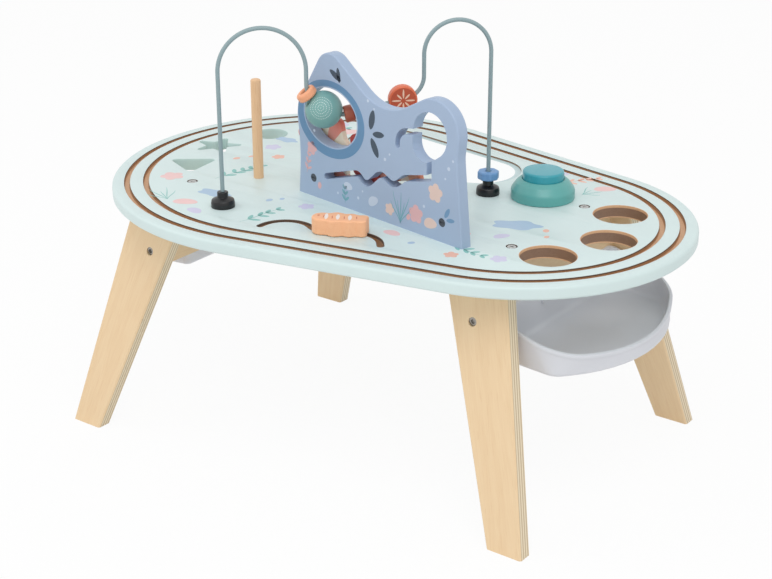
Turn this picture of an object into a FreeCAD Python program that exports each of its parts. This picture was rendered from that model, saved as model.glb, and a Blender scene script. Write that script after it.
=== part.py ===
import FreeCAD, Part
import Sketcher
import math
import os

# Activity table with a bead wire, a slotted panel, a ball run and two trays
doc = FreeCAD.newDocument("BeadMazeTable")
sheet = doc.addObject("Spreadsheet::Sheet", "Sizes")

# Driving sizes in millimetres and degrees
sizes = {
    "bigRadius": 212.5,
    "smallRadius": 168.5,
    "centreSpan": 219.0,
    "tableHigh": 242.0,
    "boardThick": 12.0,
    "boardRound": 3.0,
    "trackInset": 14.5,
    "trackPitch": 18.5,
    "trackWide": 5.5,
    "trackDeep": 4.0,
    "ballHole": 50.0,
    "ballRing": 99.5,
    "ballStep": 40.5,
    "sorterRing": 146.0,
    "discHole": 36.0,
    "slotWide": 6.0,
    "fishWave": 25.5,
    "fishPitch": 70.0,
    "mirrorRadius": 43.0,
    "mirrorSpan": 132.0,
    "mirrorAlong": 76.0,
    "mirrorBehind": 172.0,
    "mirrorThick": 1.5,
    "mirrorSink": 2.0,
    "panelThick": 12.0,
    "panelLong": 217.4,
    "panelHollow": 55.0,
    "panelTurn": -9.9,
    "panelStartX": 12.0,
    "panelStartY": -59.3,
    "windowWide": 36.2,
    "windowHigh": 28.2,
    "roundHole": 20.75,
    "crossThick": 15.0,
    "crossDeep": 58.0,
    "crossLeftX": -91.0,
    "crossRightX": 38.0,
    "legThick": 15.0,
    "legTopWide": 64.0,
    "legFootWide": 36.0,
    "legEdge": 1.6,
    "legLeftTopY": 146.0,
    "legLeftSpread": 52.0,
    "legRightTopY": 109.0,
    "legRightSpread": 49.0,
    "legSplay": 67.5,
    "trayWall": 2.5,
    "trayBackTop": 54.0,
    "trayRim": 68.0,
    "trayLow": 94.5,
    "trayDraft": 4.5,
    "trayCornerX": 70.0,
    "trayCornerY": 60.0,
    "trayCorner": 36.0,
    "trayEnd": 174.5,
    "trayBackY": 77.5,
    "trayLip": 0.8,
    "wireThick": 4.0,
    "wireTurn": 44.3,
    "wireStartX": -17.6,
    "wireStartY": -136.0,
    "leftArch": 40.4,
    "leftArchHigh": 128.5,
    "sagRadius": 30.0,
    "sagHigh": 115.0,
    "runSlope": 12.0,
    "runLong": 57.2,
    "bendRadius": 22.0,
    "rightArch": 31.5,
    "rightArchHigh": 139.0,
    "footWide": 22.5,
    "footHigh": 15.0,
    "pegThick": 10.0,
    "pegHigh": 100.0,
    "pegSeat": 8.0,
    "buttonWide": 61.0,
    "buttonHigh": 19.5,
    "buttonAcross": 47.7,
    "buttonBack": 22.5,
    "capWide": 39.5,
    "capTop": 27.5,
    "capTravel": 5.0,
    "fishThick": 15.0,
    "fishPin": 5.0,
    "toothPitch": 32.8,
    "gearThick": 6.0,
    "gearStandoff": 3.0,
    "axleThick": 6.0,
    "boltThick": 5.0,
    "boltHead": 8.0,
    "barrelNut": 9.0,
    "topScrew": 4.0,
    "topScrewHead": 8.4,
    "panelNut": 8.0,
    "seatGap": 0.3,
    "fitGap": 0.1,
    "runGap": 0.05,
}
for row, alias in enumerate(sizes, 1):
    sheet.set("A%d" % row, alias)
    sheet.set("B%d" % row, str(sizes[alias]))
    sheet.setAlias("B%d" % row, alias)
doc.recompute()


class Named:
    pass


S = Named()
for alias in sizes:
    setattr(S, alias, float(sheet.get(alias)))
V = FreeCAD.Vector
up = V(0, 0, 1)
midX = (S.centreSpan + S.smallRadius - S.bigRadius) / 2
nodes = []


def turned(axis, degrees):
    return FreeCAD.Rotation(axis, degrees)


def place(x, y, z, rotation=None):
    return FreeCAD.Placement(V(x, y, z), rotation or FreeCAD.Rotation())


def plan(x, y, z=0.0, rotation=None):
    # Plan point of the board: x from the centre of the big end, z from the top face
    return place(x - midX, y, S.tableHigh + z, rotation)


# Upright planes of the panel and of the wire: x along, y up, z towards the front
uprightPanel = turned(up, S.panelTurn) * turned(V(1, 0, 0), 90)
uprightWire = turned(up, S.wireTurn) * turned(V(1, 0, 0), 90)
panelPlace = plan(S.panelStartX, S.panelStartY, 0, uprightPanel)
wirePlace = plan(S.wireStartX, S.wireStartY, 0, uprightWire)


def behindPanel(along, behind):
    a = math.radians(S.panelTurn)
    x = S.panelStartX + along * math.cos(a) - behind * math.sin(a)
    y = S.panelStartY + along * math.sin(a) + behind * math.cos(a)
    return x, y


def belt(circles):
    # Closed outline round a row of circles, a negative radius makes a hollow
    turns = []
    count = len(circles)
    for i in range(count):
        x0, y0, r0 = circles[i]
        x1, y1, r1 = circles[(i + 1) % count]
        far = math.hypot(x1 - x0, y1 - y0)
        turns.append(math.atan2(y1 - y0, x1 - x0) - math.asin((r1 - r0) / far))
    ends = []
    edges = []
    for i in range(count):
        x, y, r = circles[i]
        first = turns[i - 1]
        sweep = (turns[i] - first + math.pi) % (2 * math.pi) - math.pi
        if r > 0 and sweep < 0:
            sweep += 2 * math.pi
        if r < 0 and sweep > 0:
            sweep -= 2 * math.pi
        point = []
        for part in (0.0, 0.5, 1.0):
            turn = first + sweep * part
            point.append(V(x + r * math.sin(turn), y - r * math.cos(turn), 0))
        ends.append((point[0], point[2]))
        if abs(r) > 1e-6:
            edges.append((i, Part.Arc(point[0], point[1], point[2])))
    for i in range(count):
        start = ends[i][1]
        stop = ends[(i + 1) % count][0]
        if start.distanceToPoint(stop) > 1e-5:
            edges.append((i + 0.5, Part.LineSegment(start, stop)))
    edges.sort(key=lambda pair: pair[0])
    return [edge for order, edge in edges]


def slotPath(path, half):
    # Outline of a slot of one width along a path of signed circles
    x0, y0 = path[0]
    x1, y1 = path[-1]
    middle = path[1:-1]
    row = [(x0, y0, half)]
    row += [(x, y, r + half) for x, y, r in middle]
    row += [(x1, y1, half)]
    row += [(x, y, half - r) for x, y, r in reversed(middle)]
    return belt(row)


def ring(x, y, radius):
    return [Part.Circle(V(x, y, 0), up, radius)]


def hull(grow, radiusBig=None, radiusSmall=None):
    big = (radiusBig or S.bigRadius) + grow
    small = (radiusSmall or S.smallRadius) + grow
    return belt([(0, 0, big), (S.centreSpan, 0, small)])


def newBody(label, placement=None):
    body = doc.addObject("PartDesign::Body", label + "_body")
    if placement:
        body.Placement = placement
    return body


def sketchOn(body, role, outlines, offset=0.0, shift=None):
    sketch = body.newObject("Sketcher::SketchObject", "Sketch")
    for feature in body.Origin.OriginFeatures:
        if feature.Role == role:
            sketch.AttachmentSupport = (feature, [""])
    sketch.MapMode = "FlatFace"
    if isinstance(offset, str):
        sketch.setExpression("AttachmentOffset.Base.z", offset)
    else:
        sketch.AttachmentOffset = place(0, 0, offset)
    for outline in outlines:
        sketch.addGeometry(outline, False)
    return sketch


def pad(body, sketch, length, reverse=False):
    feature = body.newObject("PartDesign::Pad", "Pad")
    feature.Profile = sketch
    feature.Reversed = reverse
    if isinstance(length, str):
        feature.setExpression("Length", length)
    else:
        feature.Length = length
    body.Tip = feature
    doc.recompute()
    return feature


def pocket(body, sketch, depth=None):
    feature = body.newObject("PartDesign::Pocket", "Pocket")
    feature.Profile = sketch
    before = body.Shape.Volume
    if depth is None:
        feature.Type = "ThroughAll"
    elif isinstance(depth, str):
        feature.setExpression("Length", depth)
    else:
        feature.Length = depth
    body.Tip = feature
    doc.recompute()
    if not body.Shape.Volume < before - 1e-3:
        raise ValueError("pocket took nothing from " + body.Name)
    return feature


def turn(body, outlines, role="XZ_Plane"):
    sketch = sketchOn(body, role, outlines)
    feature = body.newObject("PartDesign::Revolution", "Revolution")
    feature.Profile = sketch
    feature.ReferenceAxis = (sketch, ["V_Axis"])
    feature.Angle = 360
    body.Tip = feature
    doc.recompute()
    return feature


def soften(body, chosen, size, kind="Fillet"):
    # Rounds the chosen edges, or cuts them flat with the kind Chamfer
    tip = body.Tip
    names = []
    for i, edge in enumerate(tip.Shape.Edges):
        if chosen(edge):
            names.append("Edge%d" % (i + 1))
    feature = body.newObject("PartDesign::" + kind, kind)
    feature.Base = (tip, names)
    measure = "Radius" if kind == "Fillet" else "Size"
    if isinstance(size, str):
        feature.setExpression(measure, size)
    else:
        setattr(feature, measure, size)
    body.Tip = feature
    doc.recompute()
    return feature


def flat(edge, height, near=0.02):
    box = edge.BoundBox
    return abs(box.ZMin - height) < near and abs(box.ZMax - height) < near


def closed(points):
    row = []
    for i in range(len(points)):
        a = V(points[i][0], points[i][1], 0)
        b = V(points[(i + 1) % len(points)][0], points[(i + 1) % len(points)][1], 0)
        row.append(Part.LineSegment(a, b))
    return row


def rod(radius, length, placement):
    rodObject = doc.addObject("Part::Cylinder", "Rod")
    rodObject.Placement = placement
    rodObject.setExpression("Radius", radius)
    if isinstance(length, str):
        rodObject.setExpression("Height", length)
    else:
        rodObject.Height = length
    return rodObject


def joined(parts):
    fuse = doc.addObject("Part::MultiFuse", "Joined")
    fuse.Shapes = parts
    return fuse


def without(base, tools):
    cut = doc.addObject("Part::Cut", "Cut")
    cut.Base = base
    cut.Tool = tools[0] if len(tools) == 1 else joined(tools)
    return cut


def group(parts):
    compound = doc.addObject("Part::Compound", "Group")
    compound.Links = parts
    return compound


def node(label, thing):
    thing.Label = label
    nodes.append(thing)
    return thing


# Places that several pieces share
crossX = {"left": S.crossLeftX, "right": S.centreSpan + S.crossRightX}
sideOf = {"left": -1, "right": 1}
legTopX = {"left": S.crossLeftX + 5, "right": crossX["right"] - 4}
legTopY = {"left": S.legLeftTopY, "right": S.legRightTopY}
legSpread = {"left": S.legLeftSpread, "right": S.legRightSpread}
legHigh = S.tableHigh - S.boardThick
topScrewY = {"left": 99.0, "right": 64.0}
traySpotY = 22.0
traySpotDown = 62.0
boltDown = {"left": 54.0, "right": 51.0}
panelNutAlong = (21.7, S.panelLong - 24.9)
panelNutHigh = 18.6
pegSpot = (-46.0, -51.5)


def legMiddleY(side, down):
    # Middle of the leg at a depth below the top face
    return legTopY[side] + legSpread[side] * (down - S.boardThick) / legHigh


def legHalf(side):
    # Half thickness of the leg measured level
    return S.legThick / 2 / math.cos(math.atan(legSpread[side] / legHigh))


# Bead wire: the path in its upright plane
slope = math.radians(S.runSlope)
sagX = 2 * S.leftArch + S.sagRadius
runStart = V(sagX + S.sagRadius * math.sin(slope), S.sagHigh - S.sagRadius * math.cos(slope), 0)
runEnd = runStart + V(math.cos(slope), math.sin(slope), 0) * S.runLong
bendX = runEnd.x - S.bendRadius * math.sin(slope)
bendHigh = runEnd.y + S.bendRadius * math.cos(slope)
riseX = bendX + S.bendRadius
wireEnd = riseX + 2 * S.rightArch
wireBelow = -(S.boardThick + 6.0)


def arcAt(x, y, radius, fromDegrees, toDegrees):
    points = []
    for part in (0.0, 0.5, 1.0):
        a = math.radians(fromDegrees + (toDegrees - fromDegrees) * part)
        points.append(V(x + radius * math.cos(a), y + radius * math.sin(a), 0))
    return Part.Arc(points[0], points[1], points[2])


wirePath = [
    Part.LineSegment(V(0, wireBelow, 0), V(0, S.leftArchHigh, 0)),
    arcAt(S.leftArch, S.leftArchHigh, S.leftArch, 180, 0),
    Part.LineSegment(V(2 * S.leftArch, S.leftArchHigh, 0), V(2 * S.leftArch, S.sagHigh, 0)),
    arcAt(sagX, S.sagHigh, S.sagRadius, 180, 270 + S.runSlope),
    Part.LineSegment(runStart, runEnd),
    arcAt(bendX, bendHigh, S.bendRadius, S.runSlope - 90, 0),
    Part.LineSegment(V(riseX, bendHigh, 0), V(riseX, S.rightArchHigh, 0)),
    arcAt(riseX + S.rightArch, S.rightArchHigh, S.rightArch, 180, 0),
    Part.LineSegment(V(wireEnd, S.rightArchHigh, 0), V(wireEnd, wireBelow, 0)),
]
wireAngle = math.radians(S.wireTurn)
feet = [(S.wireStartX, S.wireStartY)]
feet.append((S.wireStartX + wireEnd * math.cos(wireAngle), S.wireStartY + wireEnd * math.sin(wireAngle)))
buttonSpot = (feet[1][0] + S.buttonAcross, feet[1][1] + S.buttonBack)

# Table top: outline, openings, tracks, mirror seat and fixing holes
board = newBody("top_board", plan(0, 0, -S.boardThick))
pad(board, sketchOn(board, "XY_Plane", hull(0)), "Sizes.boardThick")
soften(board, lambda edge: flat(edge, S.boardThick), "Sizes.boardRound")
soften(board, lambda edge: flat(edge, 0), "Sizes.boardRound * 0.6", "Chamfer")
openings = []
for step in (-1, 0, 1):
    a = math.radians(S.ballStep * step)
    spot = (S.centreSpan + S.ballRing * math.cos(a), S.ballRing * math.sin(a))
    openings += ring(spot[0], spot[1], S.ballHole / 2)
discSpot = (-S.sorterRing * math.cos(math.radians(27.1)), S.sorterRing * math.sin(math.radians(27.1)))
openings += ring(discSpot[0], discSpot[1], S.discHole / 2)
starSpot = (-S.sorterRing - 3.0, 3.0)
star = []
for tip in range(5):
    a = math.radians(180 + 2 + 72 * tip)
    b = a + math.radians(36)
    star.append((starSpot[0] + 21.5 * math.cos(a), starSpot[1] + 21.5 * math.sin(a), 2.8))
    star.append((starSpot[0] + 14.6 * math.cos(b), starSpot[1] + 14.6 * math.sin(b), -2.2))
openings += belt(star)
triangleSpot = (-S.sorterRing + 17.0, -57.5)
triangle = []
for tip in range(3):
    a = math.radians(187 + 120 * tip)
    triangle.append((triangleSpot[0] + 19.5 * math.cos(a), triangleSpot[1] + 19.5 * math.sin(a), 4.5))
openings += belt(triangle)
sideAngle = math.asin((S.bigRadius - S.smallRadius) / S.centreSpan)


def nearSide(along, across):
    # Point in axes that run with the near side of the top
    x = along * math.cos(sideAngle) - across * math.sin(sideAngle)
    y = along * math.sin(sideAngle) + across * math.cos(sideAngle)
    return x, y


waveLow = -163.0
waveMid = 73.0
humps = (waveMid - S.fishPitch / 2, waveMid + S.fishPitch / 2)
dipRise = math.sqrt((2 * S.fishWave + 0.01) ** 2 - (S.fishPitch / 2) ** 2)
dipHigh = waveLow + dipRise
fishPath = [nearSide(humps[0] - S.fishWave, waveLow - 2.0)]
fishPath.append(nearSide(humps[0], waveLow) + (-S.fishWave,))
fishPath.append(nearSide(waveMid, dipHigh) + (S.fishWave,))
fishPath.append(nearSide(humps[1], waveLow) + (-S.fishWave,))
fishPath.append(nearSide(humps[1] + S.fishWave, waveLow - 2.0))
openings += slotPath(fishPath, S.slotWide / 2)
pocket(board, sketchOn(board, "XY_Plane", openings, "Sizes.boardThick"))
tracks = []
for inset in (S.trackInset, S.trackInset + S.trackPitch):
    tracks += hull(-(inset - S.trackWide / 2)) + hull(-(inset + S.trackWide / 2))
pocket(board, sketchOn(board, "XY_Plane", tracks, "Sizes.boardThick"), "Sizes.trackDeep")
mirrorEnds = [behindPanel(S.mirrorAlong - S.mirrorSpan, S.mirrorBehind),
              behindPanel(S.mirrorAlong, S.mirrorBehind)]
mirrorHull = belt([mirrorEnds[0] + (S.mirrorRadius,), mirrorEnds[1] + (S.mirrorRadius,)])
seat = sketchOn(board, "XY_Plane", mirrorHull, "Sizes.boardThick")
pocket(board, seat, "Sizes.mirrorSink + Sizes.mirrorThick")
drills = []
for side in ("left", "right"):
    for y in (-topScrewY[side], topScrewY[side]):
        x = crossX[side]
        drills.append(rod("Sizes.topScrew / 2 + Sizes.fitGap", "Sizes.boardThick + 2", plan(x, y, -S.boardThick - 1)))
        sink = doc.addObject("Part::Cone", "Sink")
        sink.setExpression("Radius1", "Sizes.topScrew / 2 + Sizes.fitGap")
        sink.setExpression("Radius2", "Sizes.topScrewHead / 2 + Sizes.fitGap")
        sink.Height = 2.4
        sink.Placement = plan(x, y, -2.6)
        drills.append(sink)
        drills.append(rod("Sizes.topScrewHead / 2 + Sizes.fitGap", 1.0, plan(x, y, -0.2)))
for x, y in feet:
    drills.append(rod("Sizes.wireThick / 2 + Sizes.fitGap", "Sizes.boardThick + 2", plan(x, y, -S.boardThick - 1)))
for along in panelNutAlong:
    x, y = behindPanel(along, S.panelThick / 2)
    drills.append(rod("Sizes.boltThick / 2 + Sizes.fitGap", "Sizes.boardThick + 2", plan(x, y, -S.boardThick - 1)))
drills.append(rod("Sizes.pegThick / 2 + Sizes.runGap", "Sizes.pegSeat + 1", plan(pegSpot[0], pegSpot[1], -S.pegSeat)))
topBoard = node("top_board", without(board, drills))

mirror = newBody("mirror", plan(0, 0, -S.mirrorSink - S.mirrorThick))
inner = S.mirrorRadius - S.fitGap
mirrorShape = belt([mirrorEnds[0] + (inner,), mirrorEnds[1] + (inner,)])
pad(mirror, sketchOn(mirror, "XY_Plane", mirrorShape), "Sizes.mirrorThick")
node("mirror", mirror)

# Crossbars under the top, their ends cut to the slope of the legs
crossLow = S.boardThick + S.crossDeep
bolts = []
nuts = []
for side in ("left", "right"):
    bar = newBody("crossbar_" + side, place(crossX[side] - midX, 0, S.tableHigh))
    topHalf = legMiddleY(side, S.boardThick) - legHalf(side)
    lowHalf = legMiddleY(side, crossLow) - legHalf(side)
    corners = [(-topHalf, -S.boardThick), (-lowHalf, -crossLow), (lowHalf, -crossLow), (topHalf, -S.boardThick)]
    pad(bar, sketchOn(bar, "YZ_Plane", closed(corners), -S.crossThick / 2), "Sizes.crossThick")
    tools = []
    down = boltDown[side]
    inward = -sideOf[side]
    for way in (-1, 1):
        endY = legMiddleY(side, down) - legHalf(side)
        along = turned(V(1, 0, 0), 90 * way)
        start = plan(crossX[side], way * (endY + 1), -down, along)
        tools.append(rod("Sizes.boltThick / 2 + Sizes.fitGap", 41.0, start))
        nutY = way * (endY - 30.0)
        tools.append(rod("Sizes.barrelNut / 2 + Sizes.fitGap", 13.5,
                         plan(crossX[side] + inward * (S.crossThick / 2 + 0.5), nutY, -down,
                              turned(V(0, 1, 0), -90 * inward))))
        barrel = rod("Sizes.barrelNut / 2", 12.5,
                     plan(crossX[side] + inward * (S.crossThick / 2 - 0.4), nutY, -down,
                          turned(V(0, 1, 0), -90 * inward)))
        thread = rod("Sizes.boltThick / 2 + Sizes.runGap", 20.0, plan(crossX[side], nutY + way * 10, -down, along))
        nuts.append(without(barrel, [thread]))
        outY = legMiddleY(side, down) + legHalf(side)
        headY = way * (outY - 3.4)
        outward = turned(V(1, 0, 0), -90 * way)
        shank = rod("Sizes.boltThick / 2", outY - 3.4 - (endY - 36.0), plan(crossX[side], way * (endY - 36.0), -down, outward))
        head = rod("Sizes.boltHead / 2", 2.4, plan(crossX[side], headY, -down, outward))
        socket = doc.addObject("Part::Prism", "Socket")
        socket.Polygon = 6
        socket.Circumradius = 2.3
        socket.Height = 3.0
        socket.Placement = plan(crossX[side], way * (outY - 3.4 + 0.8), -down, outward)
        bolts.append(without(joined([shank, head]), [socket]))
    for y in (-topScrewY[side], topScrewY[side]):
        tools.append(rod("Sizes.topScrew / 2 + Sizes.runGap", 30.0, plan(crossX[side], y, -S.boardThick - 29.0)))
    for y in (-traySpotY, traySpotY):
        start = plan(crossX[side] - inward * (S.crossThick / 2 + 1.0), y, -traySpotDown,
                     turned(V(0, 1, 0), 90 * inward))
        tools.append(rod("Sizes.topScrew / 2 + Sizes.runGap", S.crossThick - 1.0, start))
    node("crossbar_" + side, without(bar, tools))

# Legs: tapered boards lofted between level sections under the top and on the floor
for side in ("left", "right"):
    for way, name in ((-1, "front"), (1, "back")):
        leg = newBody("leg_" + name + "_" + side, place(-midX, 0, 0))
        sections = []
        for level, x, y, wide in (
                (legHigh, legTopX[side], legTopY[side], S.legTopWide),
                (0.0, legTopX[side] + sideOf[side] * S.legSplay, legTopY[side] + legSpread[side], S.legFootWide)):
            halfX = wide / 2
            halfY = legHalf(side)
            middle = way * y
            cut = S.legEdge
            corners = [(x - halfX + cut, middle - halfY), (x + halfX - cut, middle - halfY),
                       (x + halfX, middle - halfY + cut), (x + halfX, middle + halfY - cut),
                       (x + halfX - cut, middle + halfY), (x - halfX + cut, middle + halfY),
                       (x - halfX, middle + halfY - cut), (x - halfX, middle - halfY + cut)]
            sections.append(sketchOn(leg, "XY_Plane", closed(corners), level))
        loft = leg.newObject("PartDesign::AdditiveLoft", "Loft")
        loft.Profile = sections[0]
        loft.Sections = [sections[1]]
        loft.Ruled = True
        leg.Tip = loft
        doc.recompute()
        down = boltDown[side]
        outY = legMiddleY(side, down) + legHalf(side)
        hole = rod("Sizes.boltThick / 2 + Sizes.fitGap", 30.0,
                   plan(crossX[side], way * (outY + 4), -down, turned(V(1, 0, 0), 90 * way)))
        recess = rod("Sizes.boltHead / 2 + Sizes.fitGap", 8.0,
                     plan(crossX[side], way * (outY - 3.4), -down, turned(V(1, 0, 0), -90 * way)))
        node("leg_" + name + "_" + side, without(leg, [hole, recess]))

node("leg_bolts", group(bolts))
node("leg_nuts", group(nuts))

# Countersunk screws that hold the top to the crossbars
screws = []
for side in ("left", "right"):
    for y in (-topScrewY[side], topScrewY[side]):
        shank = rod("Sizes.topScrew / 2", 38.0, plan(crossX[side], y, -40.0))
        cone = doc.addObject("Part::Cone", "Cone")
        cone.setExpression("Radius1", "Sizes.topScrew / 2")
        cone.setExpression("Radius2", "Sizes.topScrewHead / 2")
        cone.Height = 2.4
        cone.Placement = plan(crossX[side], y, -2.6)
        screws.append(joined([shank, cone]))
node("top_screws", group(screws))


# Ball trays: drafted shells whose higher back wall is screwed to the crossbar
def trayRow(grow, sink=0.0, back=0.0):
    # Outline of the shell, sink 0 at the rim and 1 at the bottom
    cornerX = S.trayCornerX - 3.4 * sink
    cornerY = S.trayCornerY + 2.5 * sink
    corner = S.trayCorner - S.trayDraft * sink
    end = S.trayEnd - S.trayDraft * sink
    endX = cornerX - math.sqrt((end - corner + 0.3) ** 2 - cornerY ** 2)
    backRound = 8.0 - S.trayDraft * sink
    backX = S.crossThick / 2 + backRound + 0.5 * sink + back
    return belt([(backX, -S.trayBackY, backRound + grow), (cornerX, -cornerY, corner + grow),
                 (endX, 0, end + grow), (cornerX, cornerY, corner + grow), (backX, S.trayBackY, backRound + grow)])


trayScrews = []
for side in ("left", "right"):
    spin = turned(up, 180) if side == "left" else turned(up, 0)
    tray = newBody("tray_" + side, plan(crossX[side], 0, 0, spin))
    outer = tray.newObject("PartDesign::AdditiveLoft", "Shell")
    outer.Profile = sketchOn(tray, "XY_Plane", trayRow(0), -S.trayRim)
    outer.Sections = [sketchOn(tray, "XY_Plane", trayRow(0, 1.0), -S.trayLow)]
    outer.Ruled = True
    tray.Tip = outer
    doc.recompute()
    soften(tray, lambda edge: flat(edge, -S.trayLow), 2.0, "Chamfer")
    pad(tray, sketchOn(tray, "XY_Plane", trayRow(0), -S.trayRim), "Sizes.trayRim - Sizes.trayBackTop")
    lip = trayRow(S.trayLip, 0, S.trayLip) + trayRow(-S.trayWall / 2)
    pad(tray, sketchOn(tray, "XY_Plane", lip, -S.trayRim), 3.5, True)
    upper = sketchOn(tray, "XY_Plane", trayRow(-S.trayWall), -S.trayBackTop)
    pocket(tray, upper, "Sizes.trayRim - Sizes.trayBackTop")
    inside = tray.newObject("PartDesign::SubtractiveLoft", "Hollow")
    inside.Profile = sketchOn(tray, "XY_Plane", trayRow(-S.trayWall), -S.trayRim)
    floorLevel = S.trayLow - S.trayWall
    share = (floorLevel - S.trayRim) / (S.trayLow - S.trayRim)
    inside.Sections = [sketchOn(tray, "XY_Plane", trayRow(-S.trayWall, share), -floorLevel)]
    inside.Ruled = True
    tray.Tip = inside
    doc.recompute()
    above = closed([(13.5, -S.trayBackTop + 1.0), (13.5, -S.trayBackTop), (24.0, -S.trayRim), (160.0, -S.trayRim),
                    (160.0, -S.trayBackTop + 1.0)])
    pocket(tray, sketchOn(tray, "XZ_Plane", above, 150.0))
    drills = []
    for y in (-traySpotY, traySpotY):
        inward = -sideOf[side]
        along = turned(V(0, 1, 0), 90 * inward)
        face = crossX[side] - inward * (S.crossThick / 2 + S.trayWall)
        drills.append(rod("Sizes.topScrew / 2 + Sizes.fitGap", 5.0, plan(face - inward, y, -traySpotDown, along)))
        shank = rod("Sizes.topScrew / 2", 14.0, plan(face, y, -traySpotDown, along))
        head = rod("Sizes.topScrewHead / 2", 2.0, plan(face - inward * 2.0, y, -traySpotDown, along))
        trayScrews.append(joined([shank, head]))
    node("tray_" + side, without(tray, drills))
node("tray_screws", group(trayScrews))

# Panel: wavy outline, oval window, round hole with a hooked slot and a wavy slot
panel = newBody("panel", panelPlace)
line = S.panelLong
crest = (46.5, 125.2, 19.0)
brow = (line - 36.4, 98.3, 30.3)
farCrest = crest[2] + S.panelHollow + 9.45
farBrow = brow[2] + S.panelHollow + 2.79
apart = math.hypot(brow[0] - crest[0], brow[1] - crest[1])
ahead = (apart ** 2 + farCrest ** 2 - farBrow ** 2) / 2 / apart
rise = math.sqrt(farCrest ** 2 - ahead ** 2)
acrossX = (brow[0] - crest[0]) / apart
acrossY = (brow[1] - crest[1]) / apart
hollow = (crest[0] + ahead * acrossX - rise * acrossY, crest[1] + ahead * acrossY + rise * acrossX, -S.panelHollow)
outline = belt([
    (0.0, 0.0, 0.0), (line, 0.0, 0.0), (line + 22.5, 79.5, -30.5), brow, hollow, crest,
    (34.5, 77.0, 35.0), (-191.4, 39.0, -193.8)])
pad(panel, sketchOn(panel, "XY_Plane", outline), "Sizes.panelThick", True)
soften(panel, lambda edge: (flat(edge, 0) or flat(edge, -S.panelThick)) and edge.BoundBox.YMax > 1, 1.5)
window = Part.Ellipse(V(47.0, 83.2, 0), S.windowWide, S.windowHigh)
holeX = line - 40.9
hook = slotPath([(holeX - 2.0, 96.0), (holeX - 27.0, 79.5, 13.2), (holeX - 40.2, 77.5)], 2.8)
wave = slotPath([
    (40.0, 24.6), (82.5, 30.2, -7.2), (95.0, 38.9, 7.5), (115.5, 34.5, -9.5), (130.0, 49.2, 10.0),
    (148.5, 40.8, -8.0), (holeX - 0.4, 55.6)], S.slotWide / 2)
drop = slotPath([(holeX - 0.4, 55.6), (holeX - 0.4, 84.0)], S.slotWide / 2 + 0.1)
rounds = belt([(holeX, 95.0, S.roundHole), (holeX - 6.0, 84.5, 15.5)])
for outlineRow in ([window], rounds, hook, wave, drop):
    pocket(panel, sketchOn(panel, "XY_Plane", outlineRow))
drills = []
panelNuts = []
panelBolts = []
for along in panelNutAlong:
    x, y = behindPanel(along, 0)
    back = turned(up, S.panelTurn) * turned(V(1, 0, 0), -90)
    drills.append(rod("Sizes.panelNut / 2 + Sizes.fitGap", 11.3, plan(*behindPanel(along, -1.0), panelNutHigh, back)))
    x, y = behindPanel(along, S.panelThick / 2)
    drills.append(rod("Sizes.boltThick / 2 + Sizes.fitGap", panelNutHigh + 5.0, plan(x, y, -1.0)))
    barrel = rod("Sizes.panelNut / 2", 10.0, plan(*behindPanel(along, 0.2), panelNutHigh, back))
    slit = doc.addObject("Part::Box", "Slit")
    slit.Length = 5.6
    slit.Width = 1.2
    slit.Height = 1.4
    slitPlace = plan(*behindPanel(along, 0.2), panelNutHigh, uprightPanel)
    slitPlace = slitPlace * place(-2.8, -0.6, -0.8)
    slit.Placement = slitPlace
    thread = rod("Sizes.boltThick / 2 + Sizes.runGap", 14.0, plan(x, y, panelNutHigh - 7.0))
    panelNuts.append(without(barrel, [thread, slit]))
    shank = rod("Sizes.boltThick / 2", S.boardThick + panelNutHigh + 2.5, plan(x, y, -S.boardThick))
    head = rod("Sizes.boltHead / 2", 3.0, plan(x, y, -S.boardThick - 3.0))
    panelBolts.append(joined([shank, head]))

# Train of three toothed wheels on the back of the panel
toothHigh = 3.5
toothDeep = 4.3
tipRound = 6.2
rootRound = 6.8


def pitchRadius(teeth):
    return teeth * S.toothPitch / 2 / math.pi


def wheelOutline(teeth, phase):
    radius = pitchRadius(teeth)
    row = []
    for i in range(teeth):
        a = phase + 2 * math.pi * i / teeth
        b = a + math.pi / teeth
        tip = radius + toothHigh - tipRound
        root = radius - toothDeep + rootRound
        row.append((tip * math.cos(a), tip * math.sin(a), tipRound))
        row.append((root * math.cos(b), root * math.sin(b), -rootRound))
    return belt(row)


lineAB = math.radians(7.35)
lineBC = math.radians(6.0)
teethOf = {"left": 7, "middle": 5, "right": 4}
spanAB = pitchRadius(7) + pitchRadius(5)
spanBC = pitchRadius(5) + pitchRadius(4)
wheelSpot = {"left": (21.0, 42.0)}
wheelSpot["middle"] = (21.0 + spanAB * math.cos(lineAB), 42.0 + spanAB * math.sin(lineAB))
wheelSpot["right"] = (wheelSpot["middle"][0] + spanBC * math.cos(lineBC),
                      wheelSpot["middle"][1] + spanBC * math.sin(lineBC))
phaseMiddle = lineAB + math.pi + math.pi / 5
stepMiddle = 2 * math.pi / 5
nearest = round((lineBC - phaseMiddle) / stepMiddle)
ahead = phaseMiddle + nearest * stepMiddle - lineBC
phaseOf = {"left": lineAB, "middle": phaseMiddle, "right": lineBC + math.pi - ahead * 5 / 4 + math.pi / 4}
wheelBack = S.panelThick + S.gearStandoff
axles = []
spacers = []
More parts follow.
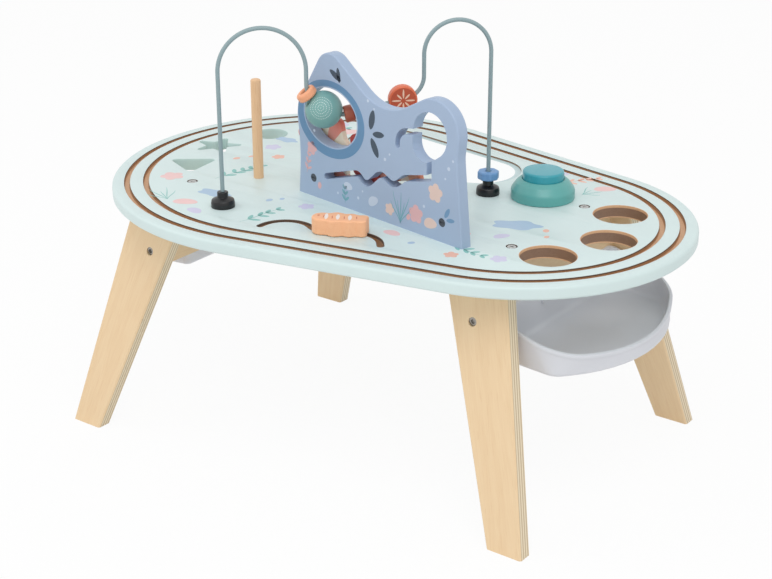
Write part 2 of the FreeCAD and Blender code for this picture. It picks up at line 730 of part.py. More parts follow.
for name in ("left", "middle", "right"):
    x, y = wheelSpot[name]
    local = panelPlace * place(x, y, -wheelBack - S.gearThick)
    wheel = newBody("gear_" + name, local)
    shape = wheelOutline(teethOf[name], phaseOf[name]) + ring(0, 0, S.axleThick / 2 + S.runGap)
    pad(wheel, sketchOn(wheel, "XY_Plane", shape), "Sizes.gearThick")
    soften(wheel, lambda edge: (flat(edge, 0) or flat(edge, S.gearThick)) and edge.CenterOfMass.Length > 6,
           1.0, "Chamfer")
    node("gear_" + name, wheel)
    headHigh = 3.0
    axleEnd = wheelBack + S.gearThick + S.seatGap
    shank = rod("Sizes.axleThick / 2", axleEnd - (S.panelThick - 8.0),
                panelPlace * place(x, y, -axleEnd))
    head = rod("Sizes.axleThick / 2 + 4", headHigh, panelPlace * place(x, y, -axleEnd - headHigh))
    axles.append(joined([shank, head]))
    drills.append(rod("Sizes.axleThick / 2 + Sizes.runGap", 9.0, panelPlace * place(x, y, -S.panelThick - 1.0)))
    collar = rod("Sizes.axleThick / 2 + 3", S.gearStandoff - S.seatGap,
                 panelPlace * place(x, y, -wheelBack + S.seatGap))
    bore = rod("Sizes.axleThick / 2 + Sizes.runGap", S.gearStandoff + 2,
               panelPlace * place(x, y, -wheelBack - 1))
    spacers.append(without(collar, [bore]))
node("panel", without(panel, drills))
node("panel_nuts", group(panelNuts))
node("panel_bolts", group(panelBolts))
node("gear_axles", group(axles))
node("gear_spacers", group(spacers))

# Bead wire swept along its path
wire = newBody("wire", wirePlace)
spine = sketchOn(wire, "XY_Plane", wirePath)
section = wire.newObject("Sketcher::SketchObject", "Section")
for feature in wire.Origin.OriginFeatures:
    if feature.Role == "XZ_Plane":
        section.AttachmentSupport = (feature, [""])
section.MapMode = "FlatFace"
section.AttachmentOffset = place(0, 0, -wireBelow)
section.addGeometry(Part.Circle(V(0, 0, 0), up, S.wireThick / 2), False)
section.addConstraint(Sketcher.Constraint("Radius", 0, S.wireThick / 2))
section.setExpression("Constraints[0]", "Sizes.wireThick / 2")
pipe = wire.newObject("PartDesign::AdditivePipe", "Pipe")
pipe.Profile = section
pipe.Spine = (spine, [])
wire.Tip = pipe
doc.recompute()
node("wire", wire)

# Feet that clamp the wire to the top, and the nuts below
footBodies = []
wireNuts = []
for x, y in feet:
    foot = newBody("wire_foot", plan(x, y, 0))
    half = S.footWide / 2
    bore = S.wireThick / 2 + S.fitGap
    collarHalf = 5.2
    profile = [
        Part.LineSegment(V(bore, 0, 0), V(half, 0, 0)),
        Part.LineSegment(V(half, 0, 0), V(half, 3.0, 0)),
        Part.Arc(V(half, 3.0, 0), V(half - 1.9, 6.6, 0), V(collarHalf, S.footHigh - 6.5, 0)),
        Part.LineSegment(V(collarHalf, S.footHigh - 6.5, 0), V(collarHalf, S.footHigh - 1.2, 0)),
        Part.LineSegment(V(collarHalf, S.footHigh - 1.2, 0), V(collarHalf - 1.2, S.footHigh, 0)),
        Part.LineSegment(V(collarHalf - 1.2, S.footHigh, 0), V(bore, S.footHigh, 0)),
        Part.LineSegment(V(bore, S.footHigh, 0), V(bore, 0, 0)),
    ]
    turn(foot, profile)
    footBodies.append(foot)
    prism = doc.addObject("Part::Prism", "Nut")
    prism.Polygon = 6
    prism.Circumradius = 4.1
    prism.Height = 3.2
    prism.Placement = plan(x, y, -S.boardThick - 3.2)
    bore = rod("Sizes.wireThick / 2 + Sizes.runGap", 5.0, plan(x, y, -S.boardThick - 4.0))
    wireNuts.append(without(prism, [bore]))
node("wire_feet", group(footBodies))
node("wire_nuts", group(wireNuts))


# Beads on the wire, each a turned piece with its own bore
def alongWire(x, y, degrees):
    # The bead's own z axis lies along the wire
    return wirePlace * place(x, y, 0, turned(up, degrees) * turned(V(0, 1, 0), 90))


def ringBead(label, placement, outside, bore, thick, soft):
    bead = newBody(label, placement)
    r0, r1, half = bore / 2, outside / 2, thick / 2
    cut = 0.75 * soft
    turn(bead, closed([(r0, -half + cut), (r0 + cut, -half), (r1 - cut, -half), (r1, -half + cut),
                       (r1, half - cut), (r1 - cut, half), (r0 + cut, half), (r0, half - cut)]))
    return node(label, bead)


greenTurn = 240.0
greenReach = S.sagRadius - 1.6
a = math.radians(greenTurn)
greenX = sagX + greenReach * math.cos(a)
greenHigh = S.sagHigh + greenReach * math.sin(a)
greenRadius = 17.5
greenBore = 4.3
bead = newBody("bead_green", alongWire(greenX, greenHigh, greenTurn - 270.0))
chamfer = 3.0
halfLong = math.sqrt(greenRadius ** 2 - (greenBore + chamfer) ** 2)
profile = [
    Part.LineSegment(V(greenBore, -halfLong + chamfer, 0), V(greenBore + chamfer, -halfLong, 0)),
    Part.Arc(V(greenBore + chamfer, -halfLong, 0), V(greenRadius, 0, 0), V(greenBore + chamfer, halfLong, 0)),
    Part.LineSegment(V(greenBore + chamfer, halfLong, 0), V(greenBore, halfLong - chamfer, 0)),
    Part.LineSegment(V(greenBore, halfLong - chamfer, 0), V(greenBore, -halfLong + chamfer, 0)),
]
turn(bead, profile)
node("bead_green", bead)


def onRun(distance, sink=0.0):
    # Point a distance along the straight run, lowered square to it
    x = runStart.x + distance * math.cos(slope) + sink * math.sin(slope)
    y = runStart.y + distance * math.sin(slope) - sink * math.cos(slope)
    return x, y


a = math.radians(194.8)
peachReach = S.sagRadius + 1.72
peachPlace = alongWire(sagX + peachReach * math.cos(a), S.sagHigh + peachReach * math.sin(a), 116.0)
ringBead("bead_ring_peach", peachPlace, 19.5, 9.6, 8.0, 1.8)
x, y = onRun(3.0, 0.7)
ringBead("bead_rust", alongWire(x, y, S.runSlope), 16.0, 6.2, 9.0, 1.2)
x, y = onRun(12.0, 1.1)
ringBead("bead_ring_coral", alongWire(x, y, S.runSlope), 21.0, 7.0, 8.0, 1.8)
footTop = S.footHigh
ringBead("bead_blue", alongWire(wireEnd, footTop + 4.0 + S.seatGap, 90.0), 20.0, 5.4, 8.0, 1.5)
a = math.radians(-84.8)
discX = bendX + S.bendRadius * math.cos(a)
discHigh = bendHigh + S.bendRadius * math.sin(a)
disc = newBody("bead_disc", wirePlace * place(discX, discHigh, -5.25))
pad(disc, sketchOn(disc, "XY_Plane", ring(0, 0, 13.5)), 10.5)
soften(disc, lambda edge: flat(edge, 0) or flat(edge, 10.5), 1.2, "Chamfer")
bore = rod("Sizes.wireThick / 2 + 1.6", 32.0, alongWire(discX, discHigh, 18.0) * place(0, 0, -16.0))
node("bead_disc", without(disc, [bore]))

# Dowel peg in its blind hole
peg = newBody("peg", plan(pegSpot[0], pegSpot[1], -S.pegSeat))
pad(peg, sketchOn(peg, "XY_Plane", ring(0, 0, S.pegThick / 2)), "Sizes.pegHigh + Sizes.pegSeat")
soften(peg, lambda edge: flat(edge, S.pegHigh + S.pegSeat), 1.6)
node("peg", peg)

# Push button: domed base, sliding cap with a flange, and its spring
base = newBody("button_base", plan(buttonSpot[0], buttonSpot[1], 0))
half = S.buttonWide / 2
throat = S.capWide / 2 + S.seatGap
cavity = throat + 3.4
shelf = 14.0
floorThick = 2.0
profile = [
    Part.LineSegment(V(0, 0, 0), V(half, 0, 0)),
    Part.LineSegment(V(half, 0, 0), V(half, 7.0, 0)),
    Part.Arc(V(half, 7.0, 0), V(half - 2.6, 14.6, 0), V(throat + 2.6, S.buttonHigh, 0)),
    Part.LineSegment(V(throat + 2.6, S.buttonHigh, 0), V(throat, S.buttonHigh, 0)),
    Part.LineSegment(V(throat, S.buttonHigh, 0), V(throat, shelf, 0)),
    Part.LineSegment(V(throat, shelf, 0), V(cavity, shelf, 0)),
    Part.LineSegment(V(cavity, shelf, 0), V(cavity, floorThick, 0)),
    Part.LineSegment(V(cavity, floorThick, 0), V(0, floorThick, 0)),
    Part.LineSegment(V(0, floorThick, 0), V(0, 0, 0)),
]
turn(base, profile)
node("button_base", base)
cap = newBody("button_cap", plan(buttonSpot[0], buttonSpot[1], 0))
capHalf = S.capWide / 2
flangeTop = shelf - S.seatGap
flangeLow = flangeTop - 3.0
wall = 2.6
profile = [
    Part.LineSegment(V(0, S.capTop, 0), V(capHalf - 2.4, S.capTop, 0)),
    Part.Arc(V(capHalf - 2.4, S.capTop, 0), V(capHalf - 0.7, S.capTop - 0.7, 0), V(capHalf, S.capTop - 2.4, 0)),
    Part.LineSegment(V(capHalf, S.capTop - 2.4, 0), V(capHalf, flangeTop, 0)),
    Part.LineSegment(V(capHalf, flangeTop, 0), V(cavity - S.seatGap, flangeTop, 0)),
    Part.LineSegment(V(cavity - S.seatGap, flangeTop, 0), V(cavity - S.seatGap, flangeLow, 0)),
    Part.LineSegment(V(cavity - S.seatGap, flangeLow, 0), V(capHalf - wall, flangeLow, 0)),
    Part.LineSegment(V(capHalf - wall, flangeLow, 0), V(capHalf - wall, S.capTop - wall, 0)),
    Part.LineSegment(V(capHalf - wall, S.capTop - wall, 0), V(0, S.capTop - wall, 0)),
    Part.LineSegment(V(0, S.capTop - wall, 0), V(0, S.capTop, 0)),
]
turn(cap, profile)
node("button_cap", cap)
springHigh = S.capTop - wall - floorThick - 2 * 0.7
helix = doc.addObject("Part::Helix", "SpringPath")
helix.Radius = 8.0
helix.Height = springHigh
helix.Pitch = springHigh / 4.5
coil = doc.addObject("Part::RegularPolygon", "SpringWire")
coil.Polygon = 8
coil.Circumradius = 0.6
coil.Placement = place(8.0, 0, 0, turned(V(1, 0, 0), 90))
doc.recompute()
spring = doc.addObject("Part::Sweep", "Spring")
spring.Sections = [coil]
spring.Spine = (helix, [])
spring.Solid = True
spring.Frenet = True
spring.Placement = plan(buttonSpot[0], buttonSpot[1], floorThick + 0.7)
doc.recompute()
node("button_spring", spring)
turnGap = helix.Pitch.Value - 2 * 0.6
print("spring turns apart by", round(turnGap, 2), "mm")

# Fish that slides in the wavy slot on a pin with a disc below
fishAlong = 33.0
a = math.radians(fishAlong - 90.0)
fishPoint = nearSide(waveMid + S.fishWave * math.cos(a), dipHigh + S.fishWave * math.sin(a))
fish = newBody("fish", plan(fishPoint[0], fishPoint[1], S.seatGap, turned(up, 15.0)))
lobes = [(-16.5, 0, 9.5), (-13.2, -11.4, -1.4), (-5.0, -4.5, 7.5), (1.8, -11.6, -1.4), (8.0, -4.0, 7.0),
         (15.3, -11.2, -1.4), (20.6, -6.0, 4.6), (27.6, 0, -4.0), (20.6, 6.0, 4.6), (15.3, 11.2, -1.4),
         (8.0, 4.0, 7.0), (1.8, 11.6, -1.4), (-5.0, 4.5, 7.5), (-13.2, 11.4, -1.4)]
pad(fish, sketchOn(fish, "XY_Plane", belt(lobes)), "Sizes.fishThick")
soften(fish, lambda edge: flat(edge, S.fishThick), 1.0, "Chamfer")
stem = rod("Sizes.fishPin / 2 + Sizes.runGap", 9.0, plan(fishPoint[0], fishPoint[1], S.seatGap - 1.0))
node("fish", without(fish, [stem]))
pinTop = S.seatGap + 7.6
pinLow = -S.boardThick - S.seatGap - 3.0
shaft = rod("Sizes.fishPin / 2", pinTop - pinLow, plan(fishPoint[0], fishPoint[1], pinLow))
plate = rod("Sizes.slotWide / 2 + 4", 3.0, plan(fishPoint[0], fishPoint[1], pinLow))
node("fish_pin", joined([shaft, plate]))

# Every object and shape is checked before the files are written
doc.recompute()
for thing in doc.Objects:
    for word in ("Invalid", "Error"):
        if word in thing.State:
            raise ValueError(thing.Label + " is " + word)
os.makedirs("parts", exist_ok=True)
for thing in nodes:
    shape = thing.Shape
    if shape.isNull() or not shape.isValid():
        raise ValueError(thing.Label + " has no valid shape")
    shape.exportStep("parts/" + thing.Label + ".step")
    print(thing.Label, len(shape.Solids), "solids", round(shape.Volume / 1000, 2), "cm3")
dipX, dipY = nearSide(waveMid, dipHigh)
print("fish turns about", round(dipX - midX, 3), round(dipY, 3))
for name in wheelSpot:
    spot = panelPlace.multVec(V(wheelSpot[name][0], wheelSpot[name][1], -wheelBack))
    print("wheel", name, [round(c, 3) for c in spot])
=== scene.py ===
import bmesh
import bpy
import numpy as np
from math import acos, asin, atan2, ceil, cos, degrees, hypot, pi, radians, sin, sqrt, tan
from mathutils import Matrix, Vector
from mathutils.geometry import tessellate_polygon


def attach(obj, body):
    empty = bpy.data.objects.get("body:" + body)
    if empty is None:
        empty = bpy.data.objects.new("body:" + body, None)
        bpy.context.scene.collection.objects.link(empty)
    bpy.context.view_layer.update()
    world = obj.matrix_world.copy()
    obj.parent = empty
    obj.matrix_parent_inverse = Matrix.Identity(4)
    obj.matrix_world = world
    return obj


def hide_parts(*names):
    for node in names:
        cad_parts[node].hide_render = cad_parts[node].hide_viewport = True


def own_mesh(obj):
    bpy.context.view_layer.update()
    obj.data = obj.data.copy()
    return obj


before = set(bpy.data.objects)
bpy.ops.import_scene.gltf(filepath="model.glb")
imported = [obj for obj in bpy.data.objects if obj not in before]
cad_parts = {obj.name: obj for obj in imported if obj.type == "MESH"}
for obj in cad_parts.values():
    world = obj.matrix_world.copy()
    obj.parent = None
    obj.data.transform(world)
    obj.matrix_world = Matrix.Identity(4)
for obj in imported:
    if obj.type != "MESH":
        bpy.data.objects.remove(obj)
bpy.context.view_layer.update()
mm = 0.001
print("frame loaded")

# Places shared by several pieces, in millimetres and degrees of the plan
table = {"high": 242.0, "thick": 12.0, "middle": 87.5, "span": 219.0, "big": 212.5, "small": 168.5}
panelPlane = {"x": 12.0, "y": -59.3, "turn": -9.9}
wirePlane = {"x": -17.6, "y": -136.0, "turn": 44.3}


def upright(plane, x=0.0, y=0.0, z=0.0):
    # Place in an upright plane as a matrix in metres: x along the plane, y up, z towards its front
    a = radians(plane["turn"])
    along = Vector((cos(a), sin(a), 0))
    front = Vector((sin(a), -cos(a), 0))
    rows = Matrix((along, Vector((0, 0, 1)), front)).transposed().to_4x4()
    rows.translation = Vector((plane["x"] - table["middle"], plane["y"], table["high"])) * mm
    return rows @ Matrix.Translation(Vector((x, y, z)) * mm)


def level(x, y, z=0.0, turn=0.0):
    # Level place on the plan as a matrix in metres, z counted from the top's upper face
    spot = Vector((x - table["middle"], y, table["high"] + z)) * mm
    return Matrix.Translation(spot) @ Matrix.Rotation(radians(turn), 4, "Z")


def onWire(x, y, turn):
    # Place in the wire's plane whose own z axis lies along the direction at that angle
    lay = Matrix.Rotation(radians(turn), 4, "Z") @ Matrix.Rotation(radians(90), 4, "Y")
    return upright(wirePlane, x, y) @ lay


def onPlan(line, along, behind=0.0):
    # Point of the plan counted along a line or an upright plane, and behind it
    a = radians(line["turn"])
    x = line["x"] + along * cos(a) - behind * sin(a)
    return x, line["y"] + along * sin(a) + behind * cos(a)


def columns(*rows):
    # Arrays side by side as the columns of one
    return np.stack(rows, axis=-1)


def newPiece(name, data):
    piece = bpy.data.objects.new(name, data)
    bpy.context.scene.collection.objects.link(piece)
    return piece


def addMesh(name, points, faces, materials, node="", body="table", sharp=35.0, zones=None):
    # Points in metres and faces become one closed piece that rides on its body and stands for a CAD node
    mesh = bpy.data.meshes.new(name)
    mesh.from_pydata(np.asarray(points).tolist(), [], [tuple(int(i) for i in face) for face in faces])
    if zones is not None:
        mesh.polygons.foreach_set("material_index", np.asarray(zones, dtype=np.int32))
    work = bmesh.new()
    work.from_mesh(mesh)
    bmesh.ops.remove_doubles(work, verts=work.verts, dist=1e-6)
    bmesh.ops.recalc_face_normals(work, faces=work.faces)
    work.to_mesh(mesh)
    work.free()
    mesh.polygons.foreach_set("use_smooth", np.ones(len(mesh.polygons), dtype=bool))
    mesh.set_sharp_from_angle(angle=radians(sharp))
    piece = newPiece(name, mesh)
    for material in materials if isinstance(materials, list) else [materials]:
        mesh.materials.append(material)
    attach(piece, body)
    if node:
        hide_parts(node)
    return piece


def apply(matrix, points):
    # Rows of points carried by a matrix
    m = np.array(matrix)
    return np.asarray(points) @ m[:3, :3].T + m[:3, 3]


def beltTurns(rows):
    # Heading of the common tangent after each circle, and how far each circle's arc turns
    turns = []
    for i, (x0, y0, r0) in enumerate(rows):
        x1, y1, r1 = rows[(i + 1) % len(rows)]
        far = hypot(x1 - x0, y1 - y0)
        turns.append(atan2(y1 - y0, x1 - x0) - asin((r1 - r0) / far))
    sweeps = []
    for i, row in enumerate(rows):
        sweep = (turns[i] - turns[i - 1] + pi) % (2 * pi) - pi
        sweep += 2 * pi if row[2] > 0 > sweep else 0.0
        sweep -= 2 * pi if row[2] < 0 < sweep else 0.0
        sweeps.append(sweep)
    return turns, sweeps


def beltLoops(circles, grows=(0.0,), fine=4.0, like=None):
    # Outlines round a row of circles, one for each amount of growth: every circle gives an arc between its
    # common tangents with its neighbours, x + r sin t and y - r cos t, and a negative radius makes a hollow
    counts = [max(2, ceil(degrees(abs(s)) / fine)) for s in beltTurns(like or circles)[1]]
    loops = []
    for grow in grows:
        rows = [(x, y, r + grow) for x, y, r in circles]
        turns, sweeps = beltTurns(rows)
        arcs = []
        for i, (x, y, r) in enumerate(rows):
            t = turns[i - 1] + sweeps[i] * np.linspace(0, 1, counts[i] + 1)
            arcs.append(columns(x + r * np.sin(t), y - r * np.cos(t)))
        loops.append(np.concatenate(arcs))
    return loops


def circleLoops(x, y, radius, grows, steps):
    # Circles round one middle, one for each amount of growth: x + r cos t, y + r sin t
    t = np.linspace(0, 2 * pi, steps, endpoint=False)
    return [columns(x + (radius + g) * np.cos(t), y + (radius + g) * np.sin(t)) for g in grows]


def slotCircles(path, half):
    # Circles whose outline is a slot of one width along a path of signed circles
    (x0, y0), (x1, y1), middle = path[0], path[-1], path[1:-1]
    there = [(x, y, r + half) for x, y, r in middle]
    return [(x0, y0, half)] + there + [(x1, y1, half)] + [(x, y, half - r) for x, y, r in middle[::-1]]


def lobedCircles(x, y, count, turn, tip, root):
    # Circles in turn round a middle, tips first and roots half a step on, each given as (distance, radius)
    row = []
    for i in range(2 * count):
        far, radius = root if i % 2 else tip
        a = turn + pi * i / count
        row.append((x + far * cos(a), y + far * sin(a), radius))
    return row


class Shell:
    # Collects loops of points and the faces between them, each face with its zone
    def __init__(self):
        self.points = []
        self.faces = []
        self.zones = []
        self.count = 0

    def tube(self, flats, heights, zones=None):
        # One loop for each outline and its height, and rows of quads between one loop and the next
        loops = []
        for flat, z in zip(flats, heights):
            self.points.append(np.column_stack([flat, np.broadcast_to(z, len(flat))]))
            loops.append(np.arange(self.count, self.count + len(flat)))
            self.count += len(flat)
        for a, b, zone in zip(loops, loops[1:], zones or [0] * len(loops)):
            quads = columns(a, np.roll(a, -1), np.roll(b, -1), b)
            self.faces += quads.tolist()
            self.zones += [zone] * len(quads)
        return loops

    def fill(self, loops, zone=0):
        # Flat face inside the first loop and outside the others
        cloud = np.concatenate(self.points)
        index = np.concatenate(loops)
        triangles = tessellate_polygon([[Vector(p) for p in cloud[row]] for row in loops])
        self.faces += [[int(index[i]) for i in t] for t in triangles]
        self.zones += [zone] * len(triangles)

    def fan(self, loop, middle):
        # Closes a loop with a point in its middle
        self.points.append(np.asarray([middle], float))
        self.faces += [[int(a), int(b), self.count] for a, b in zip(loop, np.roll(loop, -1))]
        self.zones += [0] * len(loop)
        self.count += 1

    def build(self, name, place, materials, node="", body="table", sharp=35.0):
        points = apply(place, np.concatenate(self.points) * mm)
        return addMesh(name, points, self.faces, materials, node, body, sharp, self.zones)


def slab(name, outline, high, soft, place, material, node, body, bore=0.0):
    # Board with rounded edges: its outline shrinks by soft (1 - sin t) at a height of soft (1 - cos t)
    t = np.linspace(0, pi / 2, 5)
    shrink = soft * (1 - np.sin(t))
    rise = soft * (1 - np.cos(t))
    shell = Shell()
    loops = shell.tube(beltLoops(outline, [*-shrink, *-shrink[::-1]], 9.0), [*rise, *(high - rise[::-1])])
    holes = shell.tube(circleLoops(0, 0, bore, (0, 0), 32), (0, high)) if bore else []
    shell.fill([loops[0]] + holes[:1])
    shell.fill([loops[-1]] + holes[1:])
    shell.build(name, place, material, node, body)


def roundedLoop(corners, steps=6):
    # Closed profile of (x, y, radius) corners, each corner an arc tangent to its two sides
    pts = np.array([c[:2] for c in corners], float)
    out = []
    for i, corner in enumerate(corners):
        p = pts[i]
        a = pts[i - 1] - p
        b = pts[(i + 1) % len(pts)] - p
        a /= np.linalg.norm(a)
        b /= np.linalg.norm(b)
        radius = corner[2]
        if radius <= 0:
            out.append(p[None])
            continue
        half = acos(np.clip(np.dot(a, b), -1, 1)) / 2
        centre = p + (a + b) / np.linalg.norm(a + b) * radius / sin(half)
        start = p + a * radius / tan(half) - centre
        stop = p + b * radius / tan(half) - centre
        t0 = atan2(start[1], start[0])
        sweep = (atan2(stop[1], stop[0]) - t0 + pi) % (2 * pi) - pi
        t = t0 + sweep * np.linspace(0, 1, steps + 1)
        out.append(centre + radius * columns(np.cos(t), np.sin(t)))
    return np.concatenate(out)


def turned(name, loop, steps, place, material, node="", body="table", sharp=35.0, lobes=0, depth=0.0):
    # Closed profile (r, z) turned round z: x = r cos a, y = r sin a, r swelling by a cosine of the lobes
    a = np.linspace(0, 2 * pi, steps, endpoint=False)[:, None]
    r = loop[:, 0] * (1 + depth * np.cos(lobes * a))
    points = np.stack([r * np.cos(a), r * np.sin(a), np.broadcast_to(loop[:, 1], r.shape)], axis=-1)
    at = np.arange(r.size).reshape(r.shape)
    faces = np.stack([at, np.roll(at, -1, 1), np.roll(at, (-1, -1), (0, 1)), np.roll(at, -1, 0)], axis=-1)
    points = apply(place, points.reshape(-1, 3) * mm)
    addMesh(name, points, faces.reshape(-1, 4), material, node, body, sharp)


def rodAlong(name, path, across, above, radius, sides, place, material, node):
    # Each point of the path carries a circle: across times cos t plus above times sin t
    t = np.linspace(0, 2 * pi, sides, endpoint=False)[:, None]
    points = path[:, None] + radius * (np.cos(t) * across[:, None] + np.sin(t) * above[:, None])
    shell = Shell()
    loops = shell.tube(points[..., :2], points[..., 2])
    shell.fan(loops[0][::-1], path[0])
    shell.fan(loops[-1], path[-1])
    return shell.build(name, place, material, node, sharp=60.0)


print("helpers ready")


# Shader helpers
def colour(tone):
    # A colour of the screen, 0 to 255, as the linear value that a shader takes
    row = [c / 255 for c in tone]
    return [c / 12.92 if c <= 0.04045 else ((c + 0.055) / 1.055) ** 2.4 for c in row] + [1.0]


class Nodes:
    # Short way to place and join shader nodes in one tree
    def __init__(self, tree):
        self.tree = tree
        tree.nodes.clear()

    def add(self, kind, feeds, **values):
        # Feeds name sockets: an output is joined to its socket, a plain value is set there
        node = self.tree.nodes.new("ShaderNode" + kind)
        for key, value in values.items():
            setattr(node, key, value)
        for key, value in feeds.items():
            if hasattr(value, "is_output"):
                self.tree.links.new(value, node.inputs[key])
            elif value is not None:
                node.inputs[key].default_value = value
        return node.outputs

    def math(self, operation, a, b=None, clamp=False):
        return self.add("Math", {0: a, 1: b}, operation=operation, use_clamp=clamp)[0]

    def times(self, a, b):
        return self.math("MULTIPLY", a, b)

    def vector(self, operation, a, b=None, scale=None):
        outputs = self.add("VectorMath", {0: a, 1: b, 3: scale}, operation=operation)
        return outputs["Value" if operation in ("DOT_PRODUCT", "LENGTH") else "Vector"]

    def noise(self, vector, scale, detail=2.0, rough=0.5, warp=0.0):
        feeds = {"Vector": vector, "Scale": scale, "Detail": detail, "Roughness": rough, "Distortion": warp}
        return self.add("TexNoise", feeds)["Fac"]

    def mix(self, factor, a, b, blend="MIX"):
        return self.add("Mix", {0: factor, 6: a, 7: b}, data_type="RGBA", blend_type=blend)[2]

    def span(self, value, low, high, toLow=0.0, toHigh=1.0):
        return self.add("MapRange", dict(enumerate((value, low, high, toLow, toHigh))), clamp=True)[0]

    def place(self):
        return self.add("TexCoord", {})["Object"]

    def bump(self, height, strength):
        return self.add("Bump", {"Strength": strength, "Distance": 0.0002, "Height": height})["Normal"]

    def cover(self, tone, rough, height=None, bump=0.0, feeds={}):
        # The shader of most finishes: colour, roughness, a bump from the height, and whatever else it is fed
        values = {"Base Color": tone, "Roughness": rough, **feeds}
        if height is not None:
            values["Normal"] = self.bump(height, bump)
        self.add("OutputMaterial", {"Surface": self.add("BsdfPrincipled", values)[0]})

    def result(self, feeds):
        # Ends a node group: every result becomes a named output
        for label in feeds:
            kind = "NodeSocketColor" if label == "Color" else "NodeSocketFloat"
            self.tree.interface.new_socket(label, in_out="OUTPUT", socket_type=kind)
        outputs = self.tree.nodes.new("NodeGroupOutput").inputs
        for label, value in feeds.items():
            self.tree.links.new(value, outputs[label])
        return self.tree


def newMaterial(name):
    material = bpy.data.materials.new(name)
    material.use_nodes = True
    return material, Nodes(material.node_tree)


# Noise scales along the three axes, and how much each layer of the grain darkens
grain = {
    "fibre": (900.0, 900.0, 34.0), "slow": (52.0, 52.0, 5.0), "pore": (1500.0, 1500.0, 60.0), "rings": 34.0,
    "bandShare": 0.34, "fibreShare": 0.42, "poreShare": 0.3,
}
# Noise scales of the lacquer's clouds, handling marks and orange peel, and the roughness they run between
lacquer = {"cloud": 14.0, "shade": 0.09, "marks": 60.0, "rough": (0.36, 0.52), "peel": 900.0}


def newGroup(name, inputs):
    # Node group that takes a place and more named values, numbers or colours, each with its starting value
    tree = bpy.data.node_groups.new(name, "ShaderNodeTree")
    tree.interface.new_socket("Vector", in_out="INPUT", socket_type="NodeSocketVector")
    for label, value in inputs.items():
        kind = "NodeSocketFloat" if isinstance(value, float) else "NodeSocketColor"
        tree.interface.new_socket(label, in_out="INPUT", socket_type=kind).default_value = value
    n = Nodes(tree)
    return n, tree.nodes.new("NodeGroupInput").outputs


def woodGroup():
    # Grain: long fibres from noise squeezed along one direction, pores as dark flecks, and slow bands
    tones = {"Pale": (0.8, 0.6, 0.4, 1), "Dark": (0.6, 0.4, 0.2, 1)}
    n, given = newGroup("woodGrain", {**tones, "Fibre": 1.0, "Bands": 1.0})
    spot = given["Vector"]
    fibre = n.noise(n.vector("MULTIPLY", spot, grain["fibre"]), 1.0, 3.0, 0.6)
    slow = n.noise(n.vector("MULTIPLY", spot, grain["slow"]), 1.0, 3.0, 0.55, 0.6)
    bands = n.times(n.span(n.math("SINE", n.times(slow, grain["rings"])), -1.0, 1.0), given["Bands"])
    fine = n.times(n.span(fibre, 0.35, 0.75), given["Fibre"])
    amount = n.math("ADD", n.times(bands, grain["bandShare"]), n.times(fine, grain["fibreShare"]), True)
    pores = n.span(n.noise(n.vector("MULTIPLY", spot, grain["pore"]), 1.0, 0.0), 0.66, 0.74)
    amount = n.math("ADD", amount, n.times(pores, grain["poreShare"]), True)
    return n.result({"Color": n.mix(amount, given["Pale"], given["Dark"]), "Height": fibre})


def paintGroup():
    # Sprayed lacquer: a fine orange peel, faint clouds in the colour and handling marks in the gloss
    n, given = newGroup("sprayedPaint", {"Color": (0.8, 0.8, 0.8, 1), "Cloud": 1.0})
    drift = n.math("SUBTRACT", n.noise(given["Vector"], lacquer["cloud"], 3.0, 0.6), 0.5)
    light = n.math("ADD", 1.0, n.times(drift, n.times(given["Cloud"], lacquer["shade"])))
    tint = n.add("CombineColor", {0: light, 1: light, 2: light})[0]
    marks = n.noise(given["Vector"], lacquer["marks"], 4.0, 0.65, 0.8)
    rough = n.span(marks, 0.3, 0.8, *lacquer["rough"])
    tone = n.mix(1.0, given["Color"], tint, "MULTIPLY")
    return n.result({"Color": tone, "Roughness": rough, "Height": n.noise(given["Vector"], lacquer["peel"])})


wood = woodGroup()
paint = paintGroup()


def spray(n, tone, clouds=1.0):
    return n.add("Group", {"Vector": n.place(), "Color": tone, "Cloud": clouds}, node_tree=paint)


def grained(n, along, pale, dark, fibre, bands):
    # Outputs of the wood group, its fibres laid along one direction
    turn = Vector(along).normalized().rotation_difference(Vector((0, 0, 1))).to_euler()
    spot = n.add("Mapping", {"Vector": n.place(), "Rotation": turn})[0]
    feeds = {"Vector": spot, "Pale": colour(pale), "Dark": colour(dark), "Fibre": fibre, "Bands": bands}
    return n.add("Group", feeds, node_tree=wood)


def painted(name, tone, peel=0.05, coat=0.0):
    material, n = newMaterial(name)
    g = spray(n, colour(tone))
    n.cover(g["Color"], g["Roughness"], g["Height"], peel, {"Coat Weight": coat, "Coat Roughness": 0.25})
    return material


def timber(name, pale, dark, along=(1, 0, 0), fibre=0.5, bands=0.3):
    material, n = newMaterial(name)
    g = grained(n, along, pale, dark, fibre, bands)
    n.cover(g["Color"], 0.48, g["Height"], 0.12)
    return material


def metal(name, tone, rough):
    # Bare metal whose roughness wavers with fine scratches
    material, n = newMaterial(name)
    gloss = n.span(n.noise(n.place(), 700.0, 3.0, 0.6), 0.3, 0.7, rough * 0.8, rough * 1.3)
    n.cover(colour(tone), gloss, feeds={"Metallic": 1.0})
    return material


def plastic(name, tone, rough):
    # Moulded plastic: slow changes of tone and gloss over a fine spark grain
    material, n = newMaterial(name)
    slow = n.noise(n.place(), 18.0)
    tint = n.mix(n.span(slow, 0.2, 0.8, 0.0, 0.12), colour(tone), colour([0.9 * c for c in tone]))
    gloss = n.span(slow, 0.2, 0.8, rough * 0.92, rough * 1.12)
    n.cover(tint, gloss, n.noise(n.place(), 1400.0, 2.0, 0.6), 0.1)
    return material


def dress(material, *names):
    # The CAD piece keeps its mesh and gets this finish
    for name in names:
        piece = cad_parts[name]
        piece.data.materials.clear()
        piece.data.materials.append(material)


